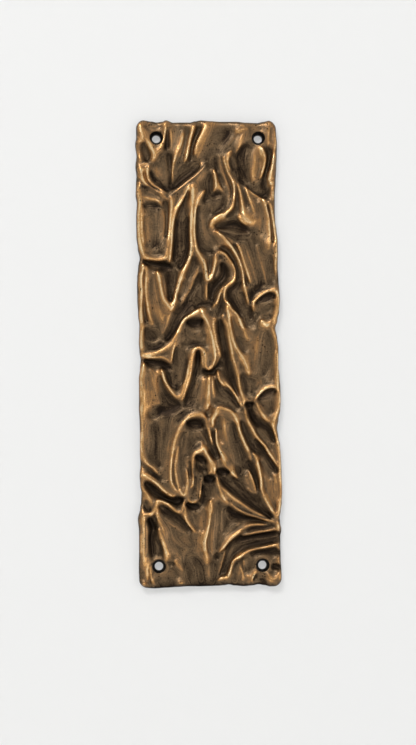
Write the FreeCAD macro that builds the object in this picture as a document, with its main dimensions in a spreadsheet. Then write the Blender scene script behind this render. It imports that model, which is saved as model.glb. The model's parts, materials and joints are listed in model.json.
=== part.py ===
"""Cast bronze door finger plate: one casting with a flowing folded relief and countersunk screw holes.

Millimetres. X runs to the right across the front, Z up along the length, and the front faces -Y.
The flat back lies in the plane y = 0, with the origin at the middle of the plate.
"""
import FreeCAD
import Part
import math
import os

DOCUMENT = "DoorFingerPlate"
NODE = "finger_plate"

# Driving dimensions in millimetres, angles in degrees: name, value, meaning.
DIMENSIONS = (
    ("plate_width", 76.0, "width across the two long edges"),
    ("plate_length", 250.0, "length from the bottom edge to the top edge"),
    ("crest_height", 6.3, "highest crest above the back"),
    ("valley_height", 2.3, "metal left under the deepest valley"),
    ("edge_height", 2.6, "height of the side wall under the rounded edge"),
    ("edge_round", 2.4, "width of the rounding along the edge"),
    ("corner_round", 4.0, "length over which each corner is rounded"),
    ("hole_diameter", 4.5, "clearance hole for a wood screw"),
    ("sink_diameter", 7.3, "mouth of the countersink"),
    ("sink_depth", 4.2, "height above the back where the cone of the countersink starts"),
    ("hole_side_inset", 10.5, "distance of the holes in from the long edges"),
    ("hole_end_inset", 10.5, "distance of the holes in from the ends"),
    ("hole_rise", 1.0, "height of the middle of the hole pattern above the middle of the plate"),
    ("seat_height", 4.5, "least height of the metal around the mouth of a countersink"),
    ("seat_width", 2.8, "width over which that seat runs out into the folds"),
)

# The folds were read at this size of plate; a plate of another size stretches them with it.
READ_WIDTH = 76.0
READ_LENGTH = 250.0

# Levels of the folds as a share of the way from the deepest valley up to the highest crest.
PIT = 0.0
DEEP = 0.15
LOW = 0.30
MID = 0.45
SOFT = 0.60
RIDGE = 0.83
CREST = 1.0

# How the surface passes from line to line.
LINE_STEP = 1.5
LINE_REACH = 12.0
LINE_RADIUS = 0.6
LINE_POWER = 1.25
LINE_TAPER = 3.5
LINE_BLUNT = 0.3
VALLEY_PULL = 2.0

# Spacing of the corners of the facets: along the outline, along the folds, and the least between two.
EDGE_RINGS = (0.0, 1.3)
EDGE_STEP = 2.6
FOLD_STEP = 1.9
FOLD_GAP = 1.5

# Crest and valley lines of the relief: level, then points (x, z) along the line.
FOLDS = [
    # top left corner and the hollow under it
    (CREST, [(-36.9, 123.8), (-36, 121), (-35.1, 118), (-34.9, 116), (-36.2, 114.6), (-37.3, 113.8)]),
    (RIDGE, [(-38, 112.4), (-37.8, 109.4), (-36.8, 106.4), (-35.7, 103.5)]),
    (CREST, [(-33.1, 115.8), (-31.2, 112.9), (-29.7, 109.9), (-28.7, 108.2), (-28.8, 105.8),
             (-29.9, 103.8)]),
    (CREST, [(-22.8, 124), (-22.6, 120), (-23.2, 116), (-24, 113.2), (-25.3, 110.5), (-27.4, 108)]),
    (SOFT, [(-33.5, 122.5), (-29, 122.8), (-25, 122.5)]),
    (LOW, [(-34.2, 113), (-33.5, 110), (-32.5, 107), (-32.8, 104.5)]),
    (DEEP, [(-21.7, 121), (-21.8, 116), (-22, 111)]),
    # the folds that run down from the top edge into the fork
    (RIDGE, [(-12.9, 120.5), (-14.4, 113.2), (-16.5, 108.8), (-17.9, 104.6), (-18.8, 100.5), (-19, 96),
             (-19, 92.6)]),
    (SOFT, [(-20, 121.7), (-19.4, 115.2), (-18.7, 109)]),
    (DEEP, [(-21, 108), (-20.3, 103), (-19.9, 98), (-20, 94), (-20.2, 90)]),
    (CREST, [(-6.9, 123.2), (-8.4, 119.1), (-9.4, 115.2), (-10.4, 109.9), (-11, 107), (-12.4, 103.5)]),
    (MID, [(-10.5, 121), (-12, 115), (-13.5, 109), (-15.5, 103), (-17.3, 97)]),
    (DEEP, [(-4, 122.5), (-6.3, 117.5), (-8, 112.5), (-9, 107), (-9.5, 104)]),
    (RIDGE, [(-0.3, 123.2), (-3.2, 118.2), (-5.6, 112.9), (-6.8, 107.9)]),
    (SOFT, [(1.5, 122), (-1, 117), (-3.5, 111), (-5.5, 105.5)]),
    (RIDGE, [(-19.4, 85.8), (-16.5, 87.9), (-13.5, 90.2), (-10.6, 92.6), (-6.2, 96.1), (-3.2, 99),
             (-1, 102)]),
    (DEEP, [(-18.7, 90), (-14.5, 94.5), (-10, 98), (-6, 101.5), (-4, 103.5)]),
    (LOW, [(-16, 98.5), (-12.5, 101), (-9, 103)]),
    (CREST, [(-31.2, 101.7), (-32.3, 99.6), (-32.4, 97), (-31.8, 94.1), (-29.7, 91.1), (-26.8, 89.1),
             (-24.1, 87.3), (-22.4, 85.8)]),
    (CREST, [(-36.2, 100.3), (-35.6, 97), (-34.9, 94.4), (-33.7, 92), (-30.9, 89.9), (-27.6, 88),
             (-24.7, 86.1), (-23.2, 84.6), (-22, 83.2)]),
    (RIDGE, [(-36.2, 100.6), (-34, 102), (-31.6, 102.4)]),
    (LOW, [(-33.9, 98), (-33.4, 94.7), (-31.6, 91.6), (-28.5, 89.2), (-26, 87.3)]),
    (MID, [(-27, 103), (-25.5, 98), (-23.5, 93.5), (-22, 90)]),
    (LOW, [(-30.3, 98), (-28.5, 94.2), (-25, 91), (-22, 88.3)]),
    (MID, [(-24.5, 107), (-23, 102), (-22.5, 97), (-21.8, 92)]),
    # the oblong panel on the left
    (CREST, [(-36.2, 90.8), (-37.6, 89), (-37.8, 86.7), (-37, 83.5), (-36.6, 80), (-37.2, 74.8),
             (-37.3, 66), (-36.8, 60.1), (-35.9, 56), (-34.7, 52.8), (-33.2, 51.3), (-30.3, 50.6),
             (-26.8, 50.3), (-24.1, 50.7), (-22.4, 52.2), (-21.7, 56.6)]),
    (CREST, [(-19.7, 84.8), (-19.6, 80.1), (-19.9, 76.3), (-20.4, 71.3), (-20.9, 66), (-21.3, 60.7),
             (-21.8, 57)]),
    (CREST, [(-9.8, 91), (-12.4, 85.4), (-14.4, 81.6), (-16.8, 77.8), (-18.2, 73.6), (-19, 68.9),
             (-19.4, 63.9), (-19.7, 59.5), (-20.1, 55.1), (-20.7, 51.3), (-21, 48.9)]),
    (RIDGE, [(-35.6, 77.5), (-35.7, 72), (-35.4, 65), (-34.7, 57.8)]),
    (SOFT, [(-25.6, 78.4), (-24.1, 74.8), (-23.8, 70.7), (-24, 66), (-25, 60)]),
    (RIDGE, [(-35.5, 84.5), (-31, 83.3), (-27, 82.3), (-24.8, 80)]),
    (LOW, [(-33.7, 79.4), (-31.3, 80.4), (-28.5, 80.2), (-26.4, 79.4)]),
    (MID, [(-30.5, 77), (-30.2, 70), (-30, 63), (-29.5, 57)]),
    (MID, [(-33.3, 74), (-33.2, 66), (-32, 58)]),
    (SOFT, [(-33, 54.3), (-29, 53.3), (-25, 53.8)]),
    (LOW, [(-23, 82), (-22.2, 77), (-22.2, 70), (-22.7, 63)]),
    (SOFT, [(-33.5, 88), (-29.5, 86.3), (-26, 84)]),
    (PIT, [(-34.6, 49.4), (-31, 48.4), (-26.5, 47.9), (-23, 47.4), (-20.8, 46.8)]),
    # the dark trough and the long double ridge beside it
    (DEEP, [(-10.6, 87.6), (-12, 83.5), (-14.2, 78), (-16, 72), (-17, 65), (-17.3, 58), (-18, 50)]),
    (LOW, [(-13, 78), (-14, 70), (-14.2, 62), (-14.5, 54)]),
    (DEEP, [(-11.3, 74), (-11.6, 66), (-11.5, 59), (-12.5, 52.5), (-15.5, 46)]),
    (CREST, [(-8, 91), (-8.1, 85.4), (-8.2, 81.6), (-8.7, 76.3), (-9.1, 70.7), (-9.3, 65.4), (-9.1, 60.4),
             (-9.1, 57.2), (-9.7, 53.1), (-10.6, 50.1), (-12.1, 46.9), (-14.2, 42.5), (-15.6, 38.8),
             (-16.5, 35.3), (-17.4, 32.4), (-17.9, 29.1), (-18.8, 26.8), (-19.7, 24.4), (-20.6, 22.6)]),
    (SOFT, [(-20.6, 22.6), (-21.8, 18.5), (-23.2, 14.1), (-25, 10.6)]),
    (CREST, [(-1.5, 87.9), (-3.5, 85.2), (-5.9, 81), (-6.8, 77.2), (-7.1, 72.8), (-7.4, 68.4), (-7.4, 63.9),
             (-6.9, 59.5), (-6.2, 55.4), (-4.7, 52.5), (-2.9, 49.8), (-1.8, 46.9), (-1.3, 43.9), (-1.2, 41),
             (-0.4, 39.3), (1.2, 40.4), (2.3, 42.6), (2.9, 44.8), (3.4, 48.4), (3.9, 51.3), (3.9, 52.8)]),
    (SOFT, [(-8.2, 84), (-8.3, 72), (-8.3, 64), (-8, 58)]),
    (LOW, [(-7.6, 52), (-7.8, 47.5), (-9.5, 43.5), (-11, 40)]),
    (MID, [(0.8, 51.5), (0.6, 47), (0.4, 43)]),
    (LOW, [(-4.8, 79), (-5.5, 73), (-5.5, 66), (-4.6, 60), (-2.5, 55.8), (1.5, 54.6)]),
    # the cheek and the tooth in the middle of the top half
    (MID, [(0.5, 80), (-1, 74), (-1.5, 66), (0.5, 61), (4, 58.5)]),
    (LOW, [(1, 97), (0.8, 91), (0.6, 86), (-1.5, 82)]),
    (DEEP, [(2, 85.5), (4.5, 85.8), (7, 86.3)]),
    (CREST, [(3.3, 99.5), (4, 95.5), (4.5, 92), (4.2, 89.5), (3, 87.3)]),
    (RIDGE, [(5.4, 92), (6.5, 89.2), (8, 87.2)]),
    (LOW, [(6, 97.5), (7.2, 93.5), (8, 90)]),
    (SOFT, [(6.3, 107), (6.8, 102), (8.5, 97), (10.3, 92.3), (11.6, 88), (11.6, 83), (10, 79)]),
    (LOW, [(3.8, 106), (4.6, 102), (5.2, 98)]),
    (LOW, [(8.2, 103.5), (9.7, 98.3), (11.8, 93), (12.9, 88.5), (12.8, 84)]),
    (LOW, [(8.5, 84.5), (8, 80), (6, 77.5), (3, 76)]),
    (SOFT, [(-4, 104.5), (-3, 100)]),
    # the bright curved ridge with the bulb at its foot
    (CREST, [(8.7, 106.5), (9.2, 103), (10, 100), (11.5, 96.5), (13, 93.5), (14, 90.5), (14.3, 87),
             (14, 83.3), (13.5, 80), (12.5, 78), (10.5, 76), (8.5, 74.6), (6.5, 74.3), (4, 72.5), (2, 70.5),
             (1, 68)]),
    (CREST, [(12.8, 109.5), (11.3, 107.5), (10.7, 104.5), (11, 101.5), (12, 99)]),
    (LOW, [(15.3, 91), (15.8, 85), (15.4, 80), (14.8, 76.5), (12.5, 74.3), (10, 73.2)]),
    (PIT, [(4.5, 68.6), (9, 69), (13, 70), (15.5, 70), (18, 68.6), (20, 67.2)]),
    (MID, [(6, 66.6), (11, 64.2), (16, 62), (20, 63.5)]),
    (RIDGE, [(16, 92), (17.5, 86), (18.5, 80), (18.9, 76)]),
    (CREST, [(18.9, 76), (20, 73), (22.5, 70.2)]),
    (RIDGE, [(16.3, 74), (18, 71.4), (20.5, 69.4)]),
    (RIDGE, [(20, 91.5), (21.5, 86), (23.5, 80), (25, 75.5)]),
    (MID, [(18.7, 91.5), (19.8, 86), (21.2, 79.5)]),
    (SOFT, [(27, 80), (28, 72), (27.5, 64)]),
    # top middle and the leaf in the top right
    (MID, [(12, 121), (7, 115), (2, 109), (-1, 104)]),
    (SOFT, [(17, 119), (12, 113.5), (8.5, 109.5)]),
    (RIDGE, [(15.5, 120.5), (18.5, 121), (22, 121.5)]),
    (SOFT, [(22, 121.8), (29, 121.3)]),
    (MID, [(6, 122), (4, 117), (0.5, 112)]),
    (RIDGE, [(19.5, 118.5), (17.5, 113), (15.5, 108.7)]),
    (DEEP, [(20.6, 112.3), (17.2, 107.6), (17.8, 102), (20, 97), (22.3, 92.4)]),
    (MID, [(12.8, 105.5), (14.2, 100), (17, 95)]),
    (SOFT, [(26, 109.5), (25.4, 103), (24.6, 97), (24, 93)]),
    (CREST, [(29.3, 111), (30.5, 107.5), (31, 105), (30.5, 101), (29.3, 97.5), (28.5, 94.5)]),
    (MID, [(28, 106), (27.8, 100), (26.6, 94)]),
    (DEEP, [(32.5, 113), (33.4, 108), (32.8, 103), (31.4, 98), (30, 94), (29.6, 91), (31.5, 88)]),
    (RIDGE, [(33.3, 123), (32.8, 116), (33, 111.5)]),
    (RIDGE, [(36.3, 122), (36.8, 115), (36, 108.5)]),
    (SOFT, [(34.8, 122), (34.7, 116), (34.6, 111)]),
    (CREST, [(36, 108.5), (35.5, 105), (34.8, 101), (33.8, 97), (33, 94)]),
    (CREST, [(33.5, 92.5), (34.6, 91)]),
    (RIDGE, [(35.2, 89.5), (35, 85.5), (34.8, 82.5)]),
    (DEEP, [(32, 87), (29.5, 85.2), (26, 86.3), (22.7, 88.7), (19.6, 92), (17.4, 94.4)]),
    (RIDGE, [(20.5, 89.8), (24, 86.7), (28, 84)]),
    (CREST, [(28, 84), (30, 82.3), (31, 79.5), (32, 76), (32.8, 72), (33, 68), (33.2, 64), (33, 60),
             (32.3, 56)]),
    (CREST, [(32.6, 82), (33.6, 79), (34.5, 74.5), (35.3, 70), (35.8, 66), (36.3, 62), (36.5, 58),
             (36.5, 53), (36, 47), (36.2, 42)]),
    (LOW, [(32.3, 80), (33.4, 75.5), (34.1, 70), (34.6, 65), (34.8, 60)]),
    # the diagonal double ridge and the broad plane right of it
    (CREST, [(4.5, 65.5), (8, 62.5), (11, 59), (13.5, 56), (15.5, 52.5), (17, 49), (18, 45.5), (18.7, 42),
             (18.9, 39), (19.3, 35), (20, 32), (20.8, 28.5), (21.3, 26)]),
    (CREST, [(15.5, 58.7), (17, 55.5), (18.3, 51.5), (19.5, 47.5), (20.5, 44), (21.5, 41), (22.5, 38)]),
    (LOW, [(13.3, 58.7), (16.1, 54.3), (17.7, 49.7), (19.1, 44.6), (20, 40), (20.7, 36.5)]),
    (SOFT, [(9, 62.8), (13, 60.3), (15.5, 58.9)]),
    (MID, [(15.3, 49.5), (16.5, 45), (17, 40)]),
    (DEEP, [(7, 57), (10.5, 55), (13, 51.5), (14.9, 47.3), (15.6, 43.6), (15.6, 39)]),
    (SOFT, [(20, 57), (22.5, 50), (24.5, 43), (26.5, 36)]),
    (SOFT, [(26, 58), (28, 50), (30, 42), (31, 37)]),
    (MID, [(23, 61), (24.5, 54), (26, 47), (27.5, 39.5), (25.5, 33)]),
    (MID, [(33.5, 52), (34, 45), (34, 38.5)]),
    (MID, [(23, 34.5), (22.5, 30), (23.8, 32.5)]),
    # the hooked ridge under the arch and its branches
    (CREST, [(4.2, 53.4), (5.5, 54), (6.8, 54.2), (8.9, 53.1), (10.6, 51), (12.4, 48.6), (13.6, 46.3),
             (14.4, 43), (13.9, 39.7), (12.4, 37.9), (10.4, 36.5), (8.9, 34.7), (8.3, 32.4), (8.1, 30),
             (8.6, 28.2)]),
    (SOFT, [(11.8, 47.8), (13, 45.7), (13.1, 43.6), (12.4, 41.6)]),
    (PIT, [(7.5, 48), (8.8, 44), (7.5, 40.5), (4.5, 37.2), (2, 34), (1.5, 30.5)]),
    (SOFT, [(7, 52.5), (6.4, 49.8)]),
    (MID, [(5.4, 47), (4.6, 43.2), (3.3, 40.8)]),
    (CREST, [(8.6, 28.2), (10.6, 26.2), (12.1, 23.2), (14.5, 21.2), (15.9, 18.8), (17.1, 15.6),
             (18.6, 12.4)]),
    (RIDGE, [(18.6, 12.4), (19.5, 9.7), (20.9, 6.8)]),
    (CREST, [(9.6, 25.5), (10.4, 21), (10.8, 17.1), (11.4, 13.2), (12.1, 9.1), (13.3, 5.3), (14.5, 2.4),
             (16.8, -1), (18.6, -3.9), (19.8, -6.9), (20.6, -9.8), (21.2, -11.9)]),
    (RIDGE, [(7.1, 20.6), (8.6, 17.4), (9.8, 14.7), (10.4, 11.8), (10.9, 8.2), (11.5, 4.7), (12.1, 1.5),
             (12.4, -1), (13, -3.9), (13.9, -6.5), (14.8, -10.1), (15.5, -13.6), (15.9, -17.2), (16.8, -21),
             (17.7, -23.6), (18.3, -26), (17.1, -27.9), (15.6, -26.3), (14.5, -23.9), (13.3, -21.6),
             (11.5, -19.2), (9.5, -17.2), (5.9, -13.4)]),
    (CREST, [(4.3, -8.9), (5.1, -13.9), (6.5, -16), (8.1, -17.9)]),
    (RIDGE, [(-0.9, 37.6), (-1.2, 33.2), (-1.2, 28.5)]),
    (RIDGE, [(8.3, 35.9), (6.8, 33.5), (5.6, 30.9), (4.8, 27.9), (3.6, 26.2), (2.2, 24.6)]),
    (DEEP, [(0.6, 37), (1.2, 31.5), (2, 28)]),
    (LOW, [(7.5, 32.5), (6.9, 29), (6.6, 26.2), (6, 23.5), (5.3, 20)]),
    (DEEP, [(17.3, 38.5), (14.5, 35.5), (11.5, 32.5), (12.5, 28.5), (15, 24.5), (17.5, 20)]),
    (LOW, [(17.8, 33), (18.8, 27), (19.5, 20), (20.8, 14)]),
    (MID, [(12.6, 19), (14.2, 12.5), (16.2, 6.5), (19, 0.5)]),
    (DEEP, [(6, 17.5), (6.4, 14), (7, 9), (8.2, 3), (8.8, -2.5), (9.8, -8), (12, -14), (13.8, -19),
            (15.5, -23)]),
    (MID, [(1, 21.8), (3.2, 21.2)]),
    # the vee on the left and the strip beside it
    (SOFT, [(-5.3, 46.6), (-6.5, 42.9), (-7.9, 40), (-8.8, 37.4), (-10, 34.4), (-12, 31), (-14.8, 26.5)]),
    (DEEP, [(-4.3, 43), (-6, 38.5), (-8, 34.5), (-10, 31)]),
    (LOW, [(-12.3, 39), (-14, 34), (-15.8, 29)]),
    (CREST, [(-27.6, 44.2), (-26.3, 39.7), (-25.6, 35.6), (-24.9, 32.1), (-24, 28.8), (-22.6, 26.8),
             (-21.2, 24.7), (-20.4, 23.2)]),
    (SOFT, [(-24.7, 41.5), (-23.8, 37.4), (-23.1, 33.2), (-22.4, 30.3)]),
    (DEEP, [(-21.5, 43), (-21, 37.5), (-20.7, 32), (-20.4, 28.3)]),
    (LOW, [(-18.2, 44), (-18.8, 37.5), (-19.2, 32)]),
    (CREST, [(-35, 48.6), (-35.1, 44.8), (-35.9, 39.1), (-35.5, 33), (-35.9, 28.5), (-36.3, 23),
             (-36.2, 17.9), (-36.4, 9), (-36.3, 3.8), (-35.6, 0)]),
    (RIDGE, [(-33.2, 47.2), (-33.4, 43.2), (-33.7, 37), (-33.5, 30.9), (-32.9, 26.8), (-32.4, 23.2),
             (-31.5, 19.7), (-30, 15.6)]),
    (LOW, [(-34.3, 45), (-34.8, 38), (-34.5, 31), (-34.5, 24), (-33.6, 17)]),
    (SOFT, [(-29, 42), (-29, 36), (-28, 30), (-26, 22), (-24.5, 17)]),
    (MID, [(-31, 40), (-31, 30), (-29.5, 22), (-27.5, 15)]),
    (DEEP, [(-33.2, 13), (-31.8, 9), (-29, 7.5)]),
    (MID, [(-33.5, 6.5), (-29.5, 3.8), (-25, 5.5)]),
    (DEEP, [(-10, 33), (-13, 25), (-16, 20.5), (-18.5, 16), (-20.8, 11), (-23, 7.8)]),
    (LOW, [(-9, 25.5), (-12.5, 22), (-16.6, 16.2), (-19.6, 11)]),
    (LOW, [(-6.5, 35), (-5, 31), (-3.5, 36)]),
    (DEEP, [(-7.5, 24.3), (-4.5, 26.3), (-1, 26.6), (1.6, 26)]),
    # the arch, its wedge and the winding ridge that comes down from it
    (CREST, [(-35.2, -1.2), (-32.6, -1), (-28.5, 0), (-24, 2), (-20.5, 4.6), (-18.2, 8.5), (-16.8, 11.5),
             (-15.6, 14.1), (-14.1, 16.8), (-12.4, 18.8), (-10, 20), (-7.6, 21.5), (-5.6, 23.2),
             (-3.8, 24)]),
    (RIDGE, [(-34.6, -2.3), (-30, -2.2), (-26, -2.2), (-23, -3.2), (-20.2, -5.2)]),
    (SOFT, [(-27, -1), (-23.5, -0.6), (-21.3, 1)]),
    (RIDGE, [(-15.9, 9.7), (-17.1, 7.6), (-17.9, 5.9), (-18.8, 3.2), (-19.5, 0.5), (-20, -2.8),
             (-20.3, -4.8)]),
    (PIT, [(-34.5, -3.9), (-30, -4.9), (-26, -5.6), (-22.5, -7.5), (-20.5, -7.6)]),
    (CREST, [(-3.4, 24), (-3.4, 21.5), (-2.6, 19.5), (-1.4, 17.6), (-0.3, 15), (0.8, 11.8), (1.7, 8.6),
             (2.4, 5), (2.9, 1.8), (3.1, -1), (2.9, -3.9), (1.8, -6.9), (0.6, -8.3), (-0.6, -8.6),
             (-1.8, -7.6), (-2.2, -5.7), (-2.1, -2.8), (-2.6, -0.1), (-3.8, 1.9), (-5.6, 2.8), (-7.4, 2.2),
             (-8.7, 0.5), (-9.7, -2.5), (-10.6, -5.7), (-11.5, -9.5), (-12.1, -12.8), (-13.2, -16.6),
             (-14.1, -19.8), (-15, -22.2), (-16.2, -23.4), (-17.6, -23.5), (-19.1, -22.2), (-20.6, -20.1),
             (-22.1, -17.8), (-23.5, -15.4), (-24.4, -13.1), (-25, -10.4), (-25.6, -8.6)]),
    (RIDGE, [(-7.6, 1.2), (-8.4, -0.7), (-9.3, -3.9), (-9.7, -7.8), (-10.4, -11.9), (-11.6, -16.3),
             (-12.6, -19.2), (-13.8, -23.1), (-14.9, -25.4)]),
    (RIDGE, [(-4.4, 0.5), (-3.7, -2.8), (-3.5, -5.7), (-2.6, -8.1)]),
    (RIDGE, [(3.6, 18.8), (2.3, 16.5), (2.4, 13.2), (3.1, 9.7), (3.7, 5.9), (4.8, 2.2), (5.5, -0.4),
             (6.1, -2.3)]),
    (SOFT, [(4.8, -3), (4, -5.5), (2.6, -7.6)]),
    (PIT, [(6.2, -4.6), (4.2, -7.7), (2, -10.1), (-1, -10.6), (-3.5, -9.3)]),
    (PIT, [(-11.5, 16.8), (-9, 16.4), (-6, 16.2), (-3.8, 17.6)]),
    (MID, [(-13, 12.8), (-9, 9), (-5, 8), (-2, 9.5)]),
    (MID, [(-14.5, 5), (-11.5, 4.5), (-7, 5.5), (-2.5, 5)]),
    (LOW, [(-17.3, 3), (-18.2, -2), (-18.3, -8), (-17.8, -14), (-17, -19)]),
    (MID, [(-13.6, 0), (-14.4, -6), (-15.8, -13), (-16.6, -17.5)]),
    (LOW, [(-12.2, -3), (-13.4, -10), (-15, -16.5)]),
    (DEEP, [(-22.2, -10), (-21.2, -14), (-19.6, -18.3)]),
    (PIT, [(-5.9, 0.9), (-5.8, -2), (-6.1, -6)]),
    (DEEP, [(-6.1, -6), (-7.2, -11), (-8.5, -16.5), (-10.8, -22), (-12.8, -27)]),
    (MID, [(-6.3, -13.5), (-7.3, -18), (-8.8, -23)]),
    # left edge and the ragged plane in the lower left
    (RIDGE, [(-34.7, -5.1), (-35.4, -8.4), (-36, -11.9), (-36.2, -15.1), (-35.6, -18.9), (-35.1, -21.9),
             (-35.6, -25.4), (-36.3, -28.9), (-36.3, -32.2), (-36, -41.7), (-36.5, -47.3), (-36.3, -51.1),
             (-35.6, -55.2), (-34.3, -57.9), (-32.4, -59.9), (-30.6, -61.1), (-28.5, -63.5),
             (-27.1, -65.2)]),
    (SOFT, [(-31.5, -8.5), (-30, -16), (-29, -24), (-27, -27)]),
    (SOFT, [(-33, -12), (-32.5, -20), (-32.5, -27.5)]),
    (DEEP, [(-26.5, -12), (-25, -19), (-22.5, -23.5), (-20, -26.3), (-16.3, -27.8)]),
    (DEEP, [(-25.5, -29), (-28.5, -32), (-31.5, -33.8)]),
    (SOFT, [(-34.3, -36), (-33.8, -46), (-34, -52)]),
    (LOW, [(-30, -38), (-28.5, -46), (-29, -55), (-27, -60.5)]),
    (MID, [(-25, -34), (-24.5, -42), (-25.5, -52), (-26, -58)]),
    (LOW, [(-35.8, -59), (-33, -61.9), (-29.8, -65), (-26.6, -67.5)]),
    # the lower arch and its figure
    (CREST, [(-2.1, -35.4), (-3.8, -33.3), (-6.2, -32.9), (-8.8, -33.4), (-11.2, -34.5), (-13.5, -36.8),
             (-15.6, -39.4), (-17.1, -42.3), (-18.2, -45.2), (-19.1, -48.5), (-19.7, -52.3), (-20.3, -56.1),
             (-20.7, -59.9), (-20.9, -64.1), (-20.7, -67.9), (-19.7, -70.8), (-18.2, -73.2),
             (-17.1, -74.4)]),
    (SOFT, [(-11.8, -30.4), (-15, -33.4), (-18.2, -37.2), (-19.7, -40.1), (-20.9, -45.8), (-22.1, -49.4),
            (-22.9, -55.2), (-23.2, -62), (-22.9, -67.9)]),
    (RIDGE, [(-16.8, -49.9), (-17.6, -53.5), (-18.2, -57), (-18.7, -60.5), (-18.5, -64.1), (-17.9, -67.9),
             (-17.1, -71.4), (-15.9, -74.1), (-14.7, -75.8), (-13.8, -75.8), (-12.9, -73.8), (-12.4, -70.8),
             (-12.1, -67.9), (-12.2, -64.9), (-12.4, -62.3)]),
    (MID, [(-18.9, -52), (-19.5, -58), (-19.7, -64), (-19.1, -69), (-17, -73)]),
    (PIT, [(-12, -37), (-9, -37.6), (-6, -38), (-4.2, -39.5)]),
    (MID, [(-13.5, -43), (-14.5, -50), (-15.5, -57), (-15.5, -64), (-14.4, -71)]),
    (MID, [(-8, -43), (-10.5, -48), (-11.8, -55)]),
    (CREST, [(-10.6, -72), (-9.4, -71), (-9, -66.4), (-9.4, -62), (-9.4, -58.2), (-9, -55.2), (-7.9, -53.5),
             (-6.2, -53), (-4.4, -51.9), (-3.4, -51.4), (-2.6, -52.6), (-1.5, -54.6), (0, -57.3),
             (1.2, -59.2), (1.9, -60.7), (2.3, -62.9), (2.1, -64.9)]),
    (RIDGE, [(-4.3, -47.5), (-4, -50), (-3.6, -51.5)]),
    (RIDGE, [(0.1, -60), (0.7, -62), (0.3, -63.8), (-0.6, -64.6)]),
    (PIT, [(-7.4, -55.6), (-5, -56.8), (-2.8, -58.8)]),
    (DEEP, [(-6.8, -59.5), (-4.8, -62), (-2.5, -62.8)]),
    (SOFT, [(-4.7, -64.6), (-6.2, -66.4), (-6.8, -69.4), (-6.6, -72.9), (-7.1, -76.4)]),
    (RIDGE, [(-3.5, -66.7), (-5, -68.8), (-5.1, -71.7), (-5.4, -75.2), (-5.9, -77.9)]),
    (RIDGE, [(-12, -78), (-10.5, -79.5), (-8.5, -79.6), (-6.3, -78.3)]),
    (LOW, [(-10.8, -67), (-10.8, -62.5), (-11, -58)]),
    (MID, [(-8, -66), (-8.2, -71), (-9.5, -75.5)]),
    (PIT, [(-3, -67.2), (-0.3, -67.3), (2, -67.4)]),
    (DEEP, [(-3.6, -71), (-3.6, -76), (-4.3, -81)]),
    (PIT, [(-12.6, -80.8), (-9.7, -82), (-6.6, -81.6)]),
    (RIDGE, [(-2.1, -35.4), (-1.2, -39), (-0.2, -43), (0.6, -46.1), (1.6, -49.2)]),
    (MID, [(-5.6, -42.3), (-4.7, -44.4), (-2.9, -46.7), (-1.2, -48.8)]),
    (DEEP, [(-2.6, -41.5), (-1.4, -46), (0.6, -51), (3, -56.5)]),
    # the upright ridge between the arches and the leaf
    (CREST, [(0, -11.9), (-0.1, -15.1), (-0.4, -19.5), (-0.6, -23.9), (-0.9, -27.8), (-1.2, -30.4)]),
    (RIDGE, [(1.5, -12.5), (1.5, -16.6), (1.8, -20.4), (2.4, -23.9)]),
    (SOFT, [(-3.2, -14), (-3.8, -20), (-4.5, -25), (-6, -29.5)]),
    (LOW, [(3.8, -14), (5.3, -19), (8, -22), (10.5, -24)]),
    (DEEP, [(7.2, -18.8), (10.5, -21.5), (13.3, -25), (15.5, -29)]),
    (MID, [(3, -26.5), (6, -26), (10, -27.5), (14, -31.5)]),
    (LOW, [(0.8, -32), (-1, -33), (0.6, -29)]),
    (CREST, [(1.2, -35.6), (2.7, -33.6), (3.9, -31), (4.8, -29.5), (6.2, -29.4), (8.3, -30.1), (10.6, -31),
             (12.4, -32.8), (13.9, -35.4), (15.1, -38.6), (15.9, -42), (17.1, -45.2), (18.6, -48.8),
             (20.1, -52), (21.2, -54.9), (21.8, -57.6)]),
    (CREST, [(1.2, -35.6), (1.6, -38), (1.2, -39.8)]),
    (CREST, [(3.6, -40.8), (3.3, -44.6), (3.6, -48.2), (4.8, -51.7), (6.5, -55.2), (8, -58.5), (9.5, -61.4),
             (11.2, -63.8), (13, -65.8), (14.5, -67.3)]),
    (DEEP, [(1.9, -42), (2.3, -46.5), (3.1, -51.5), (4.8, -56)]),
    (SOFT, [(7.5, -34), (8, -42), (9.8, -50), (12.2, -58)]),
    (LOW, [(4.8, -34.5), (4.9, -41), (5.5, -48)]),
    (LOW, [(12.2, -38), (13.8, -46), (16.2, -53), (17.8, -59)]),
    (LOW, [(14.8, -61), (15.8, -65)]),
    (SOFT, [(5.6, -58.6), (4.2, -60.6)]),
    (PIT, [(4, -63.4), (7, -64), (9.8, -63.9)]),
    # the sliver, the right leaf and the long diagonal
    (RIDGE, [(20.6, -62.9), (21.8, -66.1), (23, -69.4), (23.9, -72.9), (24.2, -75.2)]),
    (SOFT, [(19.2, -72.3), (21.5, -74.1), (23.5, -75.5)]),
    (SOFT, [(19, -66), (20.3, -70)]),
    (DEEP, [(19.8, -58.5), (21.8, -61.8), (23.6, -66), (25, -70.5), (25.3, -73.5)]),
    (CREST, [(22.7, -53.5), (24.2, -56.4), (25.4, -59.9), (26.2, -63.5), (26.8, -67), (27.1, -69.9),
             (27.1, -72.9), (28, -76.1), (29.5, -79.4), (31.2, -82.5), (33.3, -85.6), (35.4, -88)]),
    (SOFT, [(33.6, -65.2), (35.5, -69), (36, -74), (36.1, -79)]),
    (MID, [(29, -66), (30.5, -72.5), (32.6, -79), (34.8, -84.5)]),
    (LOW, [(27, -58), (30, -62), (32, -67)]),
    (CREST, [(18.6, -29.8), (19.2, -33.6), (20.4, -36.6), (22, -39.6), (24.5, -44.4), (26.8, -47.3),
             (29.5, -50.2), (31.2, -53.5), (33, -56.1), (34.8, -58.8), (36.5, -61.4)]),
    (SOFT, [(17.1, -29.2), (18.3, -33.1), (19.5, -37.2)]),
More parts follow.
